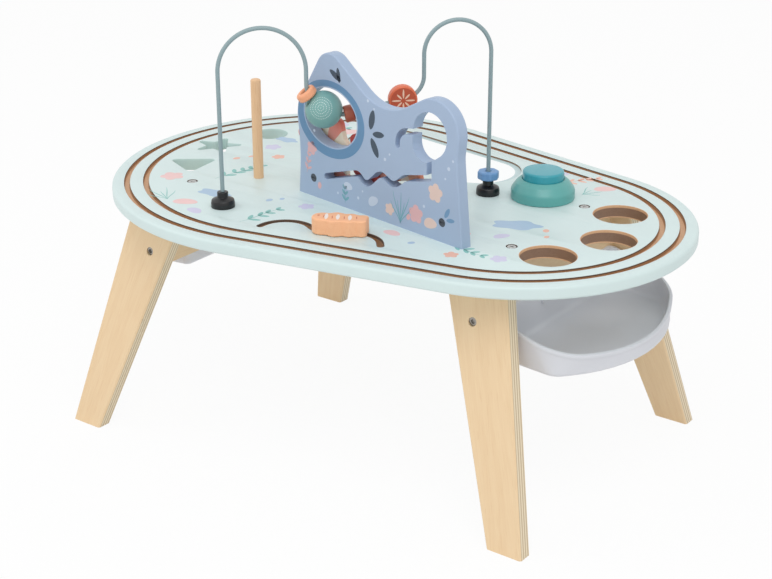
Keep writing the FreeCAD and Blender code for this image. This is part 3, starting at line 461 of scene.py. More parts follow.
# Finishes used by several pieces
mint = painted("mintPaint", (213, 230, 229))
# The sorter holes' walls take the mint paint darkened as painted shade
shadedMint = painted("shadedMint", (202, 225, 221))
blue = painted("panelBlue", (164, 183, 209))
steel = metal("steel", (190, 190, 188), 0.3)
rawBrown = timber("rawBrown", (142, 112, 90), (112, 84, 64))
# Raw wood lightened: on the ball holes' upper walls it is painted light; it also covers the groove floors
paleRim = timber("paleRim", (222, 178, 138), (198, 150, 108))
warmBrown = timber("warmBrown", (178, 134, 96), (150, 106, 70))
# Raw wood darkened: round the screw heads it is painted shadow of their recesses; it also bands the groove
# and slot walls
darkBrown = timber("darkBrown", (104, 84, 70), (80, 62, 50))
beech = timber("beech", (238, 198, 156), (216, 170, 124), (0, 0, 1), 0.9, 0.4)

# Table top: rim, two grooves, holes, wavy slot and mirror seat; tips and roots as (distance, radius)
top = {
    "edge": 3.0, "under": 1.8, "inset": 14.5, "pitch": 18.5, "groove": 5.5, "deep": 4.0, "soft": 0.5,
    "ballHole": 25.0, "ballRing": 99.5, "ballStep": 40.5, "sorter": 146.0, "sorterTurn": 27.1, "disc": 18.0,
    "star": (-149, 3), "starTips": (21.5, 2.8), "starRoots": (14.6, -2.2), "starTurn": 182,
    "triangle": (-129, -57.5), "triangleTips": (19.5, 4.5), "triangleTurn": 187, "screwHead": 4.15,
    "mirrorEnd": 43.0, "mirrorSeat": 3.5, "slot": 3.0, "wave": 25.5, "wavePitch": 70.0, "along": 73.0,
    "low": -163.0, "lastWave": 28.0, "lastAlong": 32.4, "lastLow": 5.5, "ends": (2.0, 1.5),
}
frameWood = {
    "left": {"x": -91.0, "splay": -67.5, "topY": 146.0, "spread": 52.0, "screws": 99.0},
    "right": {"x": 257.0, "splay": 67.5, "topY": 109.0, "spread": 49.0, "screws": 64.0},
}
board = [(0.0, 0.0, table["big"]), (table["span"], 0.0, table["small"])]
nearSide = {"x": 0.0, "y": 0.0, "turn": degrees(asin((table["big"] - table["small"]) / table["span"]))}
screwSpots = [(s["x"], y) for s in frameWood.values() for y in (-s["screws"], s["screws"])]
# Zones of the top: 0 mint, 1 raw brown, 2 pale rim, which on the ball holes' upper walls is painted light, 3
# shaded mint, the mint paint darkened as painted shade, 4 warm brown, 5 dark brown, which round the screw
# heads is painted shadow. Each kind of opening has the growths and heights of its rings and the zones of the
# walls between them
through = ((0.6, 0.15, 0, 0, 0, 0), (0, -0.15, -0.7, -2.4, 1 - table["thick"], -table["thick"]))
openings = {
    # Ball holes: a pale strip of painted light down the top of each wall over raw brown, and a pale bottom
    # edge; sorter holes: walls in painted shade
    "ball": through + ((2, 2, 2, 1, 2),), "sorter": through + ((3,) * 5,),
    "slot": through + ((5, 5, 5, 4, 5),),
    "mirror": ((0.4, 0, 0), (0, -0.4, -top["mirrorSeat"]), (0, 1)),
    # Screw seats: the dark brown ring round each head is raw wood darkened as painted shadow of the recess
    "screw": ((1.15, 1.0, 0.95, 0.95), (0, -0.1, -0.5, -3.2), (5, 5, 5)),
}
waveDip = top["low"] + sqrt((2 * top["wave"] + 0.01) ** 2 - (top["wavePitch"] / 2) ** 2)
mirrorEnds = [onPlan(panelPlane, along, 172.0) for along in (-56.0, 76.0)]


def topHoles():
    # Every opening of the top as (kind, circles of its outline)
    rows = []
    for step in (-1, 0, 1):
        a = radians(top["ballStep"] * step)
        x, y = table["span"] + top["ballRing"] * cos(a), top["ballRing"] * sin(a)
        rows.append(("ball", [(x, y, top["ballHole"])]))
    a = radians(top["sorterTurn"])
    rows.append(("sorter", [(-top["sorter"] * cos(a), top["sorter"] * sin(a), top["disc"])]))
    star = lobedCircles(*top["star"], 5, radians(top["starTurn"]), top["starTips"], top["starRoots"])
    corners = lobedCircles(*top["triangle"], 3, radians(top["triangleTurn"]), top["triangleTips"], (0, 0))
    rows += [("sorter", star), ("sorter", corners[::2])]
    mid, low, wave, half = top["along"], top["low"], top["wave"], top["wavePitch"] / 2
    start, stop = top["ends"]
    last = onPlan(nearSide, mid + top["lastAlong"], low - top["lastLow"]) + (-top["lastWave"],)
    path = [onPlan(nearSide, mid - half - wave - 0.1, low + start),
            onPlan(nearSide, mid - half, low) + (-wave,), onPlan(nearSide, mid, waveDip) + (wave,), last,
            onPlan(nearSide, mid + half + wave, low + stop)]
    rows.append(("slot", slotCircles(path, top["slot"])))
    rows += [("screw", [spot + (top["screwHead"],)]) for spot in screwSpots]
    rows.append(("mirror", [spot + (top["mirrorEnd"],) for spot in mirrorEnds]))
    return rows


def buildTop():
    # Rim profile carried round the outline as (growth, height, zone), then the two faces with their holes
    edge, soft, deep, thick = top["edge"], top["soft"], top["deep"], table["thick"]
    profile = [(-top["under"], -thick, 0), (0.0, -thick + top["under"], 0)]
    profile += [(edge * (cos(a) - 1), edge * (sin(a) - 1), 0) for a in np.linspace(0, pi / 2, 7)]
    for inset in (top["inset"], top["inset"] + top["pitch"]):
        out, inner = -(inset - top["groove"] / 2), -(inset + top["groove"] / 2)
        profile += [
            (out + soft, 0, 0), (out + 0.15, -0.12, 5), (out, -soft, 5), (out, -1.1, 4),
            (out, -deep + 0.5, 4), (out - 0.5, -deep, 2), (inner + 0.5, -deep, 4), (inner, -deep + 0.5, 4),
            (inner, -1.3, 5), (inner, -soft, 5), (inner - 0.15, -0.12, 0), (inner - soft, 0, 0)]
    grows, heights, zones = zip(*profile)
    shell = Shell()
    loops = shell.tube(beltLoops(board, grows, 2.0), heights, zones)
    upper, lower = [loops[-1]], [loops[0]]
    for kind, circles in topHoles():
        grows, heights, zones = openings[kind]
        flats = circleLoops(*circles[0], grows, 96) if len(circles) == 1 else beltLoops(circles, grows, 3.0)
        rings = shell.tube(flats, heights, zones)
        upper.append(rings[0])
        if kind in ("mirror", "screw"):
            shell.fill([rings[-1]], 1)
        else:
            lower.append(rings[-1])
    shell.fill(upper)
    shell.fill(lower)
    finishes = [mint, rawBrown, paleRim, shadedMint, warmBrown, darkBrown]
    shell.build("table_top", level(0, 0), finishes, "top_board", sharp=32.0)


buildTop()
print("table top built")


def mirrorMaterial():
    # Silvered glass inside a printed border, told apart by the distance from the line between the round ends
    material, n = newMaterial("mirrorGlass")
    ends = [level(x, y).translation for x, y in mirrorEnds]
    along = ends[1] - ends[0]
    span = along.length
    along.normalize()
    start = n.vector("SUBTRACT", n.place(), tuple(ends[0]))
    far = n.vector("DOT_PRODUCT", start, tuple(along))
    nearest = n.vector("SCALE", tuple(along), scale=n.math("MINIMUM", n.math("MAXIMUM", far, 0.0), span))
    off = n.vector("MULTIPLY", n.vector("SUBTRACT", start, nearest), (1.0, 1.0, 0.0))
    border = n.span(n.vector("LENGTH", off), 0.0365, 0.0368)
    tone = n.mix(border, colour((250, 252, 252)), spray(n, colour((196, 218, 220)))["Color"])
    n.cover(tone, n.span(border, 0.0, 1.0, 0.03, 0.4), feeds={"Metallic": n.math("SUBTRACT", 1.0, border)})
    return material


dress(mirrorMaterial(), "mirror")

# Legs and crossbars: birch plywood, its glued layers shown along every cut edge, lengths in metres
ply = {"pale": (240, 212, 172), "dark": (226, 190, 146), "core": ((206, 184, 150), (240, 226, 198)),
       "glue": (170, 130, 90), "layer": 0.00172, "uneven": 0.0003, "inside": (0.0060, 0.0062)}


def plyMaterial(name, across, spot, along):
    # Layer number from the distance through the board: outer veneers run along it, inner ones alternate
    material, n = newMaterial(name)
    across = Vector(across).normalized()
    face = grained(n, along, ply["pale"], ply["dark"], 0.55, 0.55)
    through = n.math("SUBTRACT", n.vector("DOT_PRODUCT", n.place(), tuple(across)), across.dot(Vector(spot)))
    uneven = n.times(n.math("SUBTRACT", n.noise(n.place(), 60.0), 0.5), ply["uneven"])
    layer = n.math("DIVIDE", n.math("ADD", through, uneven), ply["layer"])
    ripple = n.math("SINE", n.times(layer, pi))
    glue = n.span(n.math("ABSOLUTE", ripple), 0.0, 0.3, 1.0, 0.0)
    inside = n.span(n.math("ABSOLUTE", through), *ply["inside"], 1.0, 0.0)
    edge = n.mix(n.span(ripple, -0.25, 0.25), *[colour(tone) for tone in ply["core"]])
    edge = n.mix(n.times(glue, 0.15), edge, colour(ply["glue"]))
    n.cover(n.mix(inside, face["Color"], edge), 0.5, face["Height"], 0.1)
    return material


legHigh = table["high"] - table["thick"]
for side, s in frameWood.items():
    for way, name in ((-1, "front"), (1, "back")):
        across = (0, way * legHigh, s["spread"])
        along = (-s["splay"], -way * s["spread"], legHigh)
        spot = Vector((0, way * s["topY"], legHigh)) * mm
        dress(plyMaterial("ply_" + name + "_" + side, across, spot, along), "leg_" + name + "_" + side)
    spot = Vector((s["x"] - table["middle"], 0, 0)) * mm
    dress(plyMaterial("ply_" + side, (1, 0, 0), spot, (0, 1, 0)), "crossbar_" + side)
dress(metal("darkSteel", (158, 154, 148), 0.34), "leg_bolts")
dress(steel, "leg_nuts", "wire_nuts", "panel_bolts")
print("legs and crossbars dressed")

# Trays: open scoops whose rim and floor fall away from the crossbar, the rim faster than the floor. A form is
# (x and y of the far corners, their radius, radius of the end), a level (height, fall)
tray = {
    "wall": 2.5, "face": 7.5, "backCorner": 8.0, "low": (-92.8, 0.06), "rim": (-59.6, 0.32), "from": 40.0,
    "lip": 0.8, "lipHigh": 3.6, "soft": 5.0, "floor": (50.0, 0.0),
    "bottomForm": (61.0, 85.0, 18.5, 150.0), "rimForm": (46.5, 60.0, 46.5, 172.5),
}


def trayCircles(share):
    # Outline at a share of the height, its form running evenly from the bottom's to the rim's
    mixed = [low + (rim - low) * share for low, rim in zip(tray["bottomForm"], tray["rimForm"])]
    cornerX, cornerY, corner, end = mixed
    back = tray["backCorner"]
    side = cornerY + corner - back
    endX = cornerX - sqrt((end - corner + 0.3) ** 2 - cornerY ** 2)
    rearX = tray["face"] + back
    return [(rearX, -side, back), (cornerX, -cornerY, corner), (endX, 0, end), (cornerX, cornerY, corner),
            (rearX, side, back)]


def trayLevel(x, share):
    # Plane of the bottom at share 0 and of the rim at share 1, each falling evenly along x
    low, rim = [high - fall * (x - tray["from"]) for high, fall in (tray["low"], tray["rim"])]
    return low + (rim - low) * share


def buildTray(side, turn):
    # Rings of (growth, share of the height, lift): up the outside, over the lip and down inside to the floor
    wall, soft, lip, under = tray["wall"], tray["soft"], tray["lip"], tray["lipHigh"]
    quarter = np.linspace(0, pi / 2, 7)
    rings = [(soft * (sin(a) - 1), 0, soft * (1 - cos(a))) for a in quarter]
    rings += [(0, 1, -under - 0.5), (0.1, 1, -under - 0.2), (lip - 0.2, 1, -under), (lip, 1, 0.4 - under)]
    rings += [(lip + 0.8 * (cos(a) - 1), 1, 0.8 * (sin(a) - 1)) for a in quarter[::2]]
    rings += [(-wall + 0.8 * (1 - sin(a)), 1, 0.8 * (cos(a) - 1)) for a in quarter[::2]]
    rings += [(-wall, 1, -under), (-wall, 0.5, 0)]
    rings += [(-wall + soft * (cos(a) - 1), 0, wall + soft * (1 - sin(a))) for a in quarter]
    flats = [beltLoops(trayCircles(share), (grow,), 4.0, trayCircles(1))[0] for grow, share, lift in rings]
    shell = Shell()
    loops = shell.tube(flats, [trayLevel(flat[:, 0], row[1]) + row[2] for flat, row in zip(flats, rings)])
    x, y = tray["floor"]
    shell.fan(loops[0][::-1], (x, y, trayLevel(x, 0)))
    shell.fan(loops[-1], (x, y, trayLevel(x, 0) + wall))
    place = level(frameWood[side]["x"], 0, 0, turn)
    shell.build("tray_shell_" + side, place, trayPlastic, "tray_" + side, sharp=50.0)


trayPlastic = plastic("trayPlastic", (220, 222, 228), 0.42)
dress(trayPlastic, "tray_screws")
buildTray("left", 180.0)
buildTray("right", 0.0)
print("trays built")

# Bead wire: a round rod carried along lines and arcs in one upright plane
rod = {
    "radius": 2.0, "arch": 40.4, "archHigh": 128.5, "sag": 30.0, "sagHigh": 115.0, "slope": 12.0, "run": 57.2,
    "bend": 22.0, "rightArch": 31.5, "rightHigh": 139.0, "below": -18.0,
}
slope = radians(rod["slope"])
runAlong = np.array([cos(slope), sin(slope)])
runDown = np.array([sin(slope), -cos(slope)])
sag = np.array([2 * rod["arch"] + rod["sag"], rod["sagHigh"]])
runStart = sag + rod["sag"] * runDown
bend = runStart + rod["run"] * runAlong - rod["bend"] * runDown
riseX = bend[0] + rod["bend"]
wireEnd = riseX + 2 * rod["rightArch"]


def arcPoints(x, y, radius, start, stop):
    # Arc between two angles in degrees: x + r cos t, y + r sin t
    t = np.radians(np.linspace(start, stop, max(3, int(abs(stop - start) / 3))))
    return columns(x + radius * np.cos(t), y + radius * np.sin(t))


def buildWire():
    # Path of the wire in its own plane, the ends going down through the top
    path = np.concatenate([
        [(0, rod["below"])], arcPoints(rod["arch"], rod["archHigh"], rod["arch"], 180, 0),
        arcPoints(*sag, rod["sag"], 180, 270 + rod["slope"]),
        arcPoints(*bend, rod["bend"], rod["slope"] - 90, 0),
        arcPoints(riseX + rod["rightArch"], rod["rightHigh"], rod["rightArch"], 180, 0),
        [(wireEnd, rod["below"])]])
    path = np.column_stack([path, np.zeros(len(path))])
    ahead = np.gradient(path, axis=0)
    ahead /= np.linalg.norm(ahead, axis=1)[:, None]
    above = np.tile((0, 0, 1.0), (len(path), 1))
    rodAlong("bead_wire", path, np.cross(above, ahead), above, rod["radius"], 20, upright(wirePlane),
             painted("wirePaint", (144, 165, 169), 0.02), "wire")


buildWire()
feet = [onPlan(wirePlane, along) for along in (0, wireEnd)]
blackPlastic = plastic("blackPlastic", (20, 20, 23), 0.34)
footProfile = roundedLoop([(1.9, 0, 0), (11.25, 0, 0.3), (11.25, 4.2, 0.6), (10.6, 7.2, 1.6), (6.2, 9.2, 1.2),
                           (5.2, 9.6, 0.3), (5.2, 14.9, 0.8), (1.9, 14.9, 0)], 5)
for number, spot in enumerate(feet):
    node = "" if number else "wire_feet"
    turned("wire_foot_%d" % number, footProfile, 64, level(*spot), blackPlastic, node)
print("wire and feet built")

# Beads: closed profiles turned round the wire's direction where each one hangs
beads = {
    "peach": {"turn": 197.0, "reach": 31.2, "lean": 127.0, "out": 9.75, "bore": 4.8, "thick": 8.0,
              "soft": 2.6},
    "rust": {"along": 3.0, "sink": 0.7, "out": 8.0, "bore": 3.1, "thick": 9.0, "soft": 1.3},
    "coral": {"along": 12.0, "sink": 1.1, "out": 10.5, "bore": 3.5, "thick": 8.0, "soft": 2.4},
    "blue": {"high": 19.3, "out": 10.0, "bore": 2.7, "thick": 8.0, "soft": 1.5},
    "green": {"turn": 240.0, "reach": 28.4, "radius": 17.5, "bore": 4.3, "mouth": 2.4},
    "disc": {"turn": -84.8, "radius": 13.5, "thick": 10.5, "soft": 1.6},
}


def sagPoint(b):
    # Point at an angle and distance from the middle of the wire's sag
    a = radians(b["turn"])
    return sag[0] + b["reach"] * cos(a), sag[1] + b["reach"] * sin(a)


def onRun(b):
    return onWire(*(runStart + b["along"] * runAlong + b["sink"] * runDown), rod["slope"])


def buildRing(name, key, place, material, node, body, lobes=0, depth=0.0):
    # Ring of a rounded box profile, the corners at the bore no rounder than the wall allows
    b = beads[key]
    half, soft = b["thick"] / 2, b["soft"]
    inner = min(soft, (b["out"] - b["bore"]) / 2 * 0.9) * 0.8
    loop = roundedLoop([(b["bore"], -half, inner), (b["out"], -half, soft), (b["out"], half, soft),
                        (b["bore"], half, inner)], 7)
    turned(name, loop, 80, place, material, node, body, 60.0, lobes, depth)


buildRing("ring_bead_peach", "peach", onWire(*sagPoint(beads["peach"]), beads["peach"]["lean"]),
          painted("peachPaint", (246, 172, 130)), "bead_ring_peach", "ring_peach")
buildRing("barrel_bead_rust", "rust", onRun(beads["rust"]), painted("rustPaint", (182, 96, 72)), "bead_rust",
          "bead_rust")
buildRing("ring_bead_coral", "coral", onRun(beads["coral"]), painted("coralPaint", (236, 136, 116)),
          "bead_ring_coral", "ring_coral")
buildRing("fluted_bead_blue", "blue", onWire(wireEnd, beads["blue"]["high"], 90),
          painted("cornflower", (112, 156, 204)), "bead_blue", "bead_blue", 8, 0.035)


def buildGreen():
    # Ball with a bore: the circle's arc outside and a rounded mouth at each end of the bore
    b = beads["green"]
    half = sqrt(b["radius"] ** 2 - (b["bore"] + 2.6) ** 2)
    t = np.linspace(-asin(half / b["radius"]), asin(half / b["radius"]), 49)
    arc = np.stack([b["radius"] * np.cos(t), b["radius"] * np.sin(t)], axis=1)
    t = np.radians(np.linspace(20, 90, 6))
    lip = np.stack([b["bore"] + b["mouth"] * (1 - np.sin(t)), half - b["mouth"] * (1 - np.cos(t))], axis=1)
    place = onWire(*sagPoint(b), b["turn"] - 270)
    turned("ball_bead_green", np.concatenate([arc, lip, lip[::-1] * [1, -1]]), 96, place,
           painted("sagePaint", (122, 170, 166)), "bead_green", "ball_green", 60.0)
    return place.translation


def buildDisc():
    # Flat disc lying in the wire's plane, on the bend
    b = beads["disc"]
    a = radians(b["turn"])
    spot = bend + rod["bend"] * np.array([cos(a), sin(a)])
    half, out, soft = b["thick"] / 2, b["radius"], b["soft"]
    loop = roundedLoop([(0.001, -half, 0), (out, -half, soft), (out, half, soft), (0.001, half, 0)])
    place = upright(wirePlane, *spot)
    turned("disc_bead", loop, 96, place, painted("orangePaint", (226, 112, 74)), "bead_disc", "disc")
    return place


greenMiddle = buildGreen()
discPlace = buildDisc()
print("beads built")

# Peg and push button
peg = {"x": -46.0, "y": -51.5, "radius": 5.0, "high": 100.0, "seat": 8.0}
pegLoop = roundedLoop([(0.001, -peg["seat"], 0), (peg["radius"], -peg["seat"], 0.4),
                       (peg["radius"], peg["high"], 1.8), (0.001, peg["high"], 0)])
turned("dowel_peg", pegLoop, 64, level(peg["x"], peg["y"]), beech, "peg")

button = {"across": 47.7, "back": 22.5, "half": 30.5, "high": 19.5, "cap": 19.75, "capTop": 27.5, "gap": 0.3,
          "shelf": 3.4, "roof": 14.0, "bottom": 2.0, "wall": 2.6, "flange": (13.7, 10.7)}
buttonSpot = (feet[1][0] + button["across"], feet[1][1] + button["back"])


def buildButton():
    # Base with a stepped well, and a hollow cap whose flange stays below the step
    half, high, cap, crown, roof = [button[key] for key in ("half", "high", "cap", "capTop", "roof")]
    mouth = cap + button["gap"]
    well = mouth + button["shelf"]
    base = roundedLoop([
        (0.001, 0, 0), (half, 0, 1.2), (half, 9.4, 6.0), (half - 4.6, 16.0, 6.0), (cap + 1.9, high, 1.2),
        (mouth, high, 0.5), (mouth, roof, 0), (well, roof, 0.5), (well, button["bottom"], 1.0),
        (0.001, button["bottom"], 0)], 8)
    turned("push_base", base, 128, level(*buttonSpot), painted("teal", (92, 168, 164), coat=0.3),
           "button_base", sharp=50.0)
    flange, inside = well - button["gap"], cap - button["wall"]
    upper, lower = button["flange"]
    loop = roundedLoop([
        (0.001, crown, 0), (cap, crown, 2.2), (cap, upper, 0.3), (flange, upper, 0.4), (flange, lower, 0.4),
        (inside, lower, 0), (inside, crown - button["wall"], 1.0), (0.001, crown - button["wall"], 0)], 8)
    turned("push_cap", loop, 128, level(*buttonSpot), painted("deepTeal", (40, 156, 170), coat=0.5),
           "button_cap", "button_cap", 50.0)


buildButton()
spring = {"coil": 8.0, "wire": 0.6, "turns": 4.5, "low": 2.7, "high": 21.5, "press": 5.0, "steps": 160}


def buildSpring():
    # Helix: x = coil cos a, y = coil sin a, z rising evenly with a
    coil = spring["coil"]
    a = np.linspace(0, 2 * pi * spring["turns"], spring["steps"])
    rise = spring["high"] / a[-1]
    across = np.column_stack([np.cos(a), np.sin(a), 0 * a])
    ahead = np.column_stack([-coil * np.sin(a), coil * np.cos(a), rise + 0 * a])
    above = np.cross(across, ahead / np.linalg.norm(ahead, axis=1)[:, None])
    path = coil * across + np.column_stack([0 * a, 0 * a, spring["low"] + rise * a])
    piece = rodAlong("coil_spring", path, across, above, spring["wire"], 12, level(*buttonSpot), steel,
                     "button_spring")
    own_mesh(piece)


buildSpring()
print("peg and button built")

# Fish, its place counted along the middle bend of the wavy slot, and its outline as circles from the nose
fish = {"swing": 33.0, "turn": 26.0, "thick": 15.0, "lift": 0.3}
a = radians(fish["swing"] - 90)
fishSpot = onPlan(nearSide, top["along"] + top["wave"] * cos(a), waveDip + top["wave"] * sin(a))
fishPlace = level(*fishSpot, fish["lift"], fish["turn"])
fishSide = [(-11.6, -11.6, -2.0), (-4.2, -5.9, 6.7), (3.6, -12.0, -2.0), (9.6, -5.2, 6.0),
            (16.2, -10.4, -1.8), (20.9, -4.6, 4.6)]
fishOutline = [(-16.3, 0, 9.7), *fishSide, (27.6, 0, -3.2), *[(x, -y, r) for x, y, r in fishSide[::-1]]]
fishPaint = timber("fishPaint", (255, 194, 150), (246, 176, 130), (1, 0, 0), 0.6)
slab("swimming_fish", fishOutline, fish["thick"], 1.3, fishPlace, fishPaint, "fish", "fish_slider")
dress(beech, "fish_pin", "gear_axles", "gear_spacers")

# Toothed wheels behind the panel: one pitch, two headings, and tones of petal, valley and petal's tip
wheels = {
    "pitch": 32.8, "thick": 6.0, "back": 15.0, "high": 3.5, "deep": 4.3, "tip": 6.2, "root": 6.8,
    "bore": 3.05, "left": (21.0, 42.0), "teeth": {"left": 7, "middle": 5, "right": 4}, "towards": (7.35, 6.0),
}
wheelTones = {
    "left": ((246, 176, 160), (252, 238, 214), (236, 128, 110)),
    "middle": ((222, 104, 88), (232, 150, 128), (196, 64, 56)),
    "right": ((248, 190, 154), (252, 224, 196), (238, 140, 104)),
}


def pitchRadius(teeth):
    return teeth * wheels["pitch"] / 2 / pi


def petalMaterial(name, x, y, phase):
    # Polar pattern in the panel's plane: petals of one colour over another, darker towards their tips
    material, n = newMaterial("wheel_" + name)
    petal, valley, deep = [colour(tone) for tone in wheelTones[name]]
    teeth = wheels["teeth"][name]
    plane = upright(panelPlane)
    away = n.vector("SUBTRACT", n.place(), tuple(plane @ (Vector((x, y, 0)) * mm)))
    x, y = [n.vector("DOT_PRODUCT", away, tuple(plane.col[i][:3])) for i in (0, 1)]
    angle = n.math("SUBTRACT", n.math("ARCTAN2", y, x), phase)
    far = n.math("SQRT", n.math("ADD", n.times(x, x), n.times(y, y)))
    far = n.math("DIVIDE", far, pitchRadius(teeth) * mm)
    lobe = n.math("COSINE", n.times(angle, float(teeth)))
    edge = n.math("ADD", lobe, n.times(far, -0.2))
    mask = n.times(n.span(edge, -0.42, -0.3), n.span(far, 0.26, 0.3))
    g = spray(n, n.mix(mask, valley, n.mix(n.span(far, 0.45, 1.05), petal, deep)), 1.6)
    n.cover(g["Color"], g["Roughness"], g["Height"], 0.05)
    return material


def buildWheels():
    # Each wheel's middle follows from the one before, and its phase puts a tooth into that one's gap
    toMiddle, toRight = [radians(a) for a in wheels["towards"]]
    teeth = wheels["teeth"]
    spots = {"left": wheels["left"]}
    for name, before, heading in (("middle", "left", toMiddle), ("right", "middle", toRight)):
        far = pitchRadius(teeth[before]) + pitchRadius(teeth[name])
        x, y = spots[before]
        spots[name] = (x + far * cos(heading), y + far * sin(heading))
    middlePhase = toMiddle + pi + pi / teeth["middle"]
    step = 2 * pi / teeth["middle"]
    ahead = middlePhase + round((toRight - middlePhase) / step) * step - toRight
    rightPhase = toRight + pi - ahead * teeth["middle"] / teeth["right"] + pi / teeth["right"]
    phases = {"left": toMiddle, "middle": middlePhase, "right": rightPhase}
    for name, (x, y) in spots.items():
        tip = pitchRadius(teeth[name]) + wheels["high"] - wheels["tip"]
        root = pitchRadius(teeth[name]) - wheels["deep"] + wheels["root"]
        outline = lobedCircles(0, 0, teeth[name], phases[name], (tip, wheels["tip"]), (root, -wheels["root"]))
        place = upright(panelPlane, x, y, -wheels["back"] - wheels["thick"])
        slab("toothed_wheel_" + name, outline, wheels["thick"], 1.4, place,
             petalMaterial(name, x, y, phases[name]), "gear_" + name, "gear_" + name, wheels["bore"])


buildWheels()
dress(blue, "panel")
dress(metal("nutSteel", (96, 100, 108), 0.4), "panel_nuts")
print("fish and wheels built")

# Countersunk screws of the top: growths and heights of the head and shank, and the cross recess
screw = {"rings": (3.85, 4.15, 2.1, 2.0), "heights": (-0.15, -0.35, -2.6, -40.0), "long": 2.5, "wide": 0.55,
         "deep": 1.1}


def buildTopScrews():
    # A cross of twelve corners inside a round head, carried down as the recess
    w, l = screw["wide"], screw["long"]
    quarter = np.array([(w, w), (w, l), (-w, l)])
    cross = np.concatenate([quarter, quarter[:, ::-1] * [-1, 1], -quarter, quarter[:, ::-1] * [1, -1]])
    for number, (x, y) in enumerate(screwSpots):
        shell = Shell()
        loops = shell.tube(circleLoops(0, 0, 0, screw["rings"], 48), screw["heights"])
        recess = shell.tube([cross, cross * 0.8], (screw["heights"][0], -screw["deep"]))
        shell.fill([loops[0], recess[0]])
        shell.fill(recess[1:])
        shell.fan(loops[-1], (0, 0, screw["heights"][-1]))
        shell.build("top_screw_%d" % number, level(x, y, 0, 20.0 + 25 * number), steel,
                    "" if number else "top_screws", sharp=30.0)


buildTopScrews()
print("screws built")

# Printed pictures: thin closed films of paint on the top, the panel, the fish and two beads
def film(name, place, outlines, tone, body="table", proud=0.05, hole=None):
    # Each outline becomes a closed film, cut out along the hole where one is given
    shell = Shell()
    for flat in outlines:
        rims = [flat] if hole is None else [flat, hole]
        ends = zip(*[shell.tube([rim, rim], (-0.03, proud)) for rim in rims])
        for loops in ends:
            shell.fill(loops)
    shell.build(name, place, painted(name, tone), body=body)


def put(flat, x, y, turn=0.0):
    # The outline turned by an angle in degrees and moved to its place
    a = radians(turn)
    spin = np.array([[cos(a), sin(a)], [-sin(a), cos(a)]])
    return np.asarray(flat) @ spin + [x, y]


def polar(radius, steps=48, squash=1.0):
    # Outline whose radius is a function of the angle: x = r cos t, y = squash r sin t
    t = np.linspace(0, 2 * pi, steps, endpoint=False)
    r = radius(t)
    return columns(r * np.cos(t), squash * r * np.sin(t))


def disk(radius, steps):
    return polar(lambda t: radius + 0 * t, steps)


def stroke(path, wide):
    # Band along a path that narrows to both ends as the sine of the way along it
    path = np.asarray(path, float)
    ahead = np.gradient(path, axis=0)
    ahead /= np.linalg.norm(ahead, axis=1)[:, None]
    side = np.stack([-ahead[:, 1], ahead[:, 0]], axis=1)
    half = wide / 2 * (0.15 + 0.85 * np.sin(np.linspace(0.12, pi - 0.12, len(path))))
    return np.concatenate([path + side * half[:, None], (path - side * half[:, None])[::-1]])


def bowed(long, bow, steps=14):
    # Path that leaves its line by bow times the squared sine of the way along it
    x = np.linspace(0, long, steps)
    return columns(x, bow * np.sin(x / long * pi / 2) ** 2)


def leaf(long, wide):
    # Pointed oval: x = long (1 - cos t) / 2, y = half the width times sin t to the power 1.2
    t = np.linspace(0, pi, 12)
    x = long * (1 - np.cos(t)) / 2
    y = wide / 2 * np.sin(t) ** 1.2
    return np.concatenate([columns(x, y), columns(x, -y)[-2:0:-1]])


# Motifs: the radius swells and shrinks with a cosine of the angle
def blossom(size):
    return polar(lambda t: size * (0.72 + 0.28 * np.abs(np.cos(2.5 * t))), 80)


def cloud(size):
    return polar(lambda t: size * (1 + 0.13 * np.cos(5 * t)), 60, 0.52)


def pebble(size):
    return polar(lambda t: size * (1 + 0.05 * np.cos(3 * t + 1)), 40, 0.62)


def drop(size):
    return polar(lambda t: size * (0.55 + 0.45 * np.cos(t / 2) ** 6), 36, 0.9)


def sprig(x, y, turn, long, bow, pairs, size):
    # A bowed stem with pairs of leaves that shrink towards its tip
    stem = bowed(long, bow, 20)
    shapes = [put(stroke(stem, 0.9), x, y, turn)]
    for i in range(pairs):
        share = 0.25 + 0.7 * i / max(1, pairs - 1)
        spot = put([stem[int(share * 19)]], x, y, turn)[0]
        blade = leaf(size * (1.1 - 0.45 * share), size * 0.36)
        shapes += [put(blade, *spot, turn + side * (48 - 14 * share)) for side in (-1, 1)]
    return shapes


def tuft(x, y, turn, long, count):
    # Blades fanned from one foot, alternately long and short
    rows = [(long * (0.72 + 0.28 * (i % 2)), s) for i, s in enumerate(np.linspace(-1, 1, count))]
    return [put(stroke(bowed(reach, 7 * s), 1.0), x, y, turn + 17 * s) for reach, s in rows]


def motifs(shape, rows):
    # Rows of (x, y, size, turn) for one motif
    return [put(shape(size), x, y, turn) for x, y, size, turn in rows]


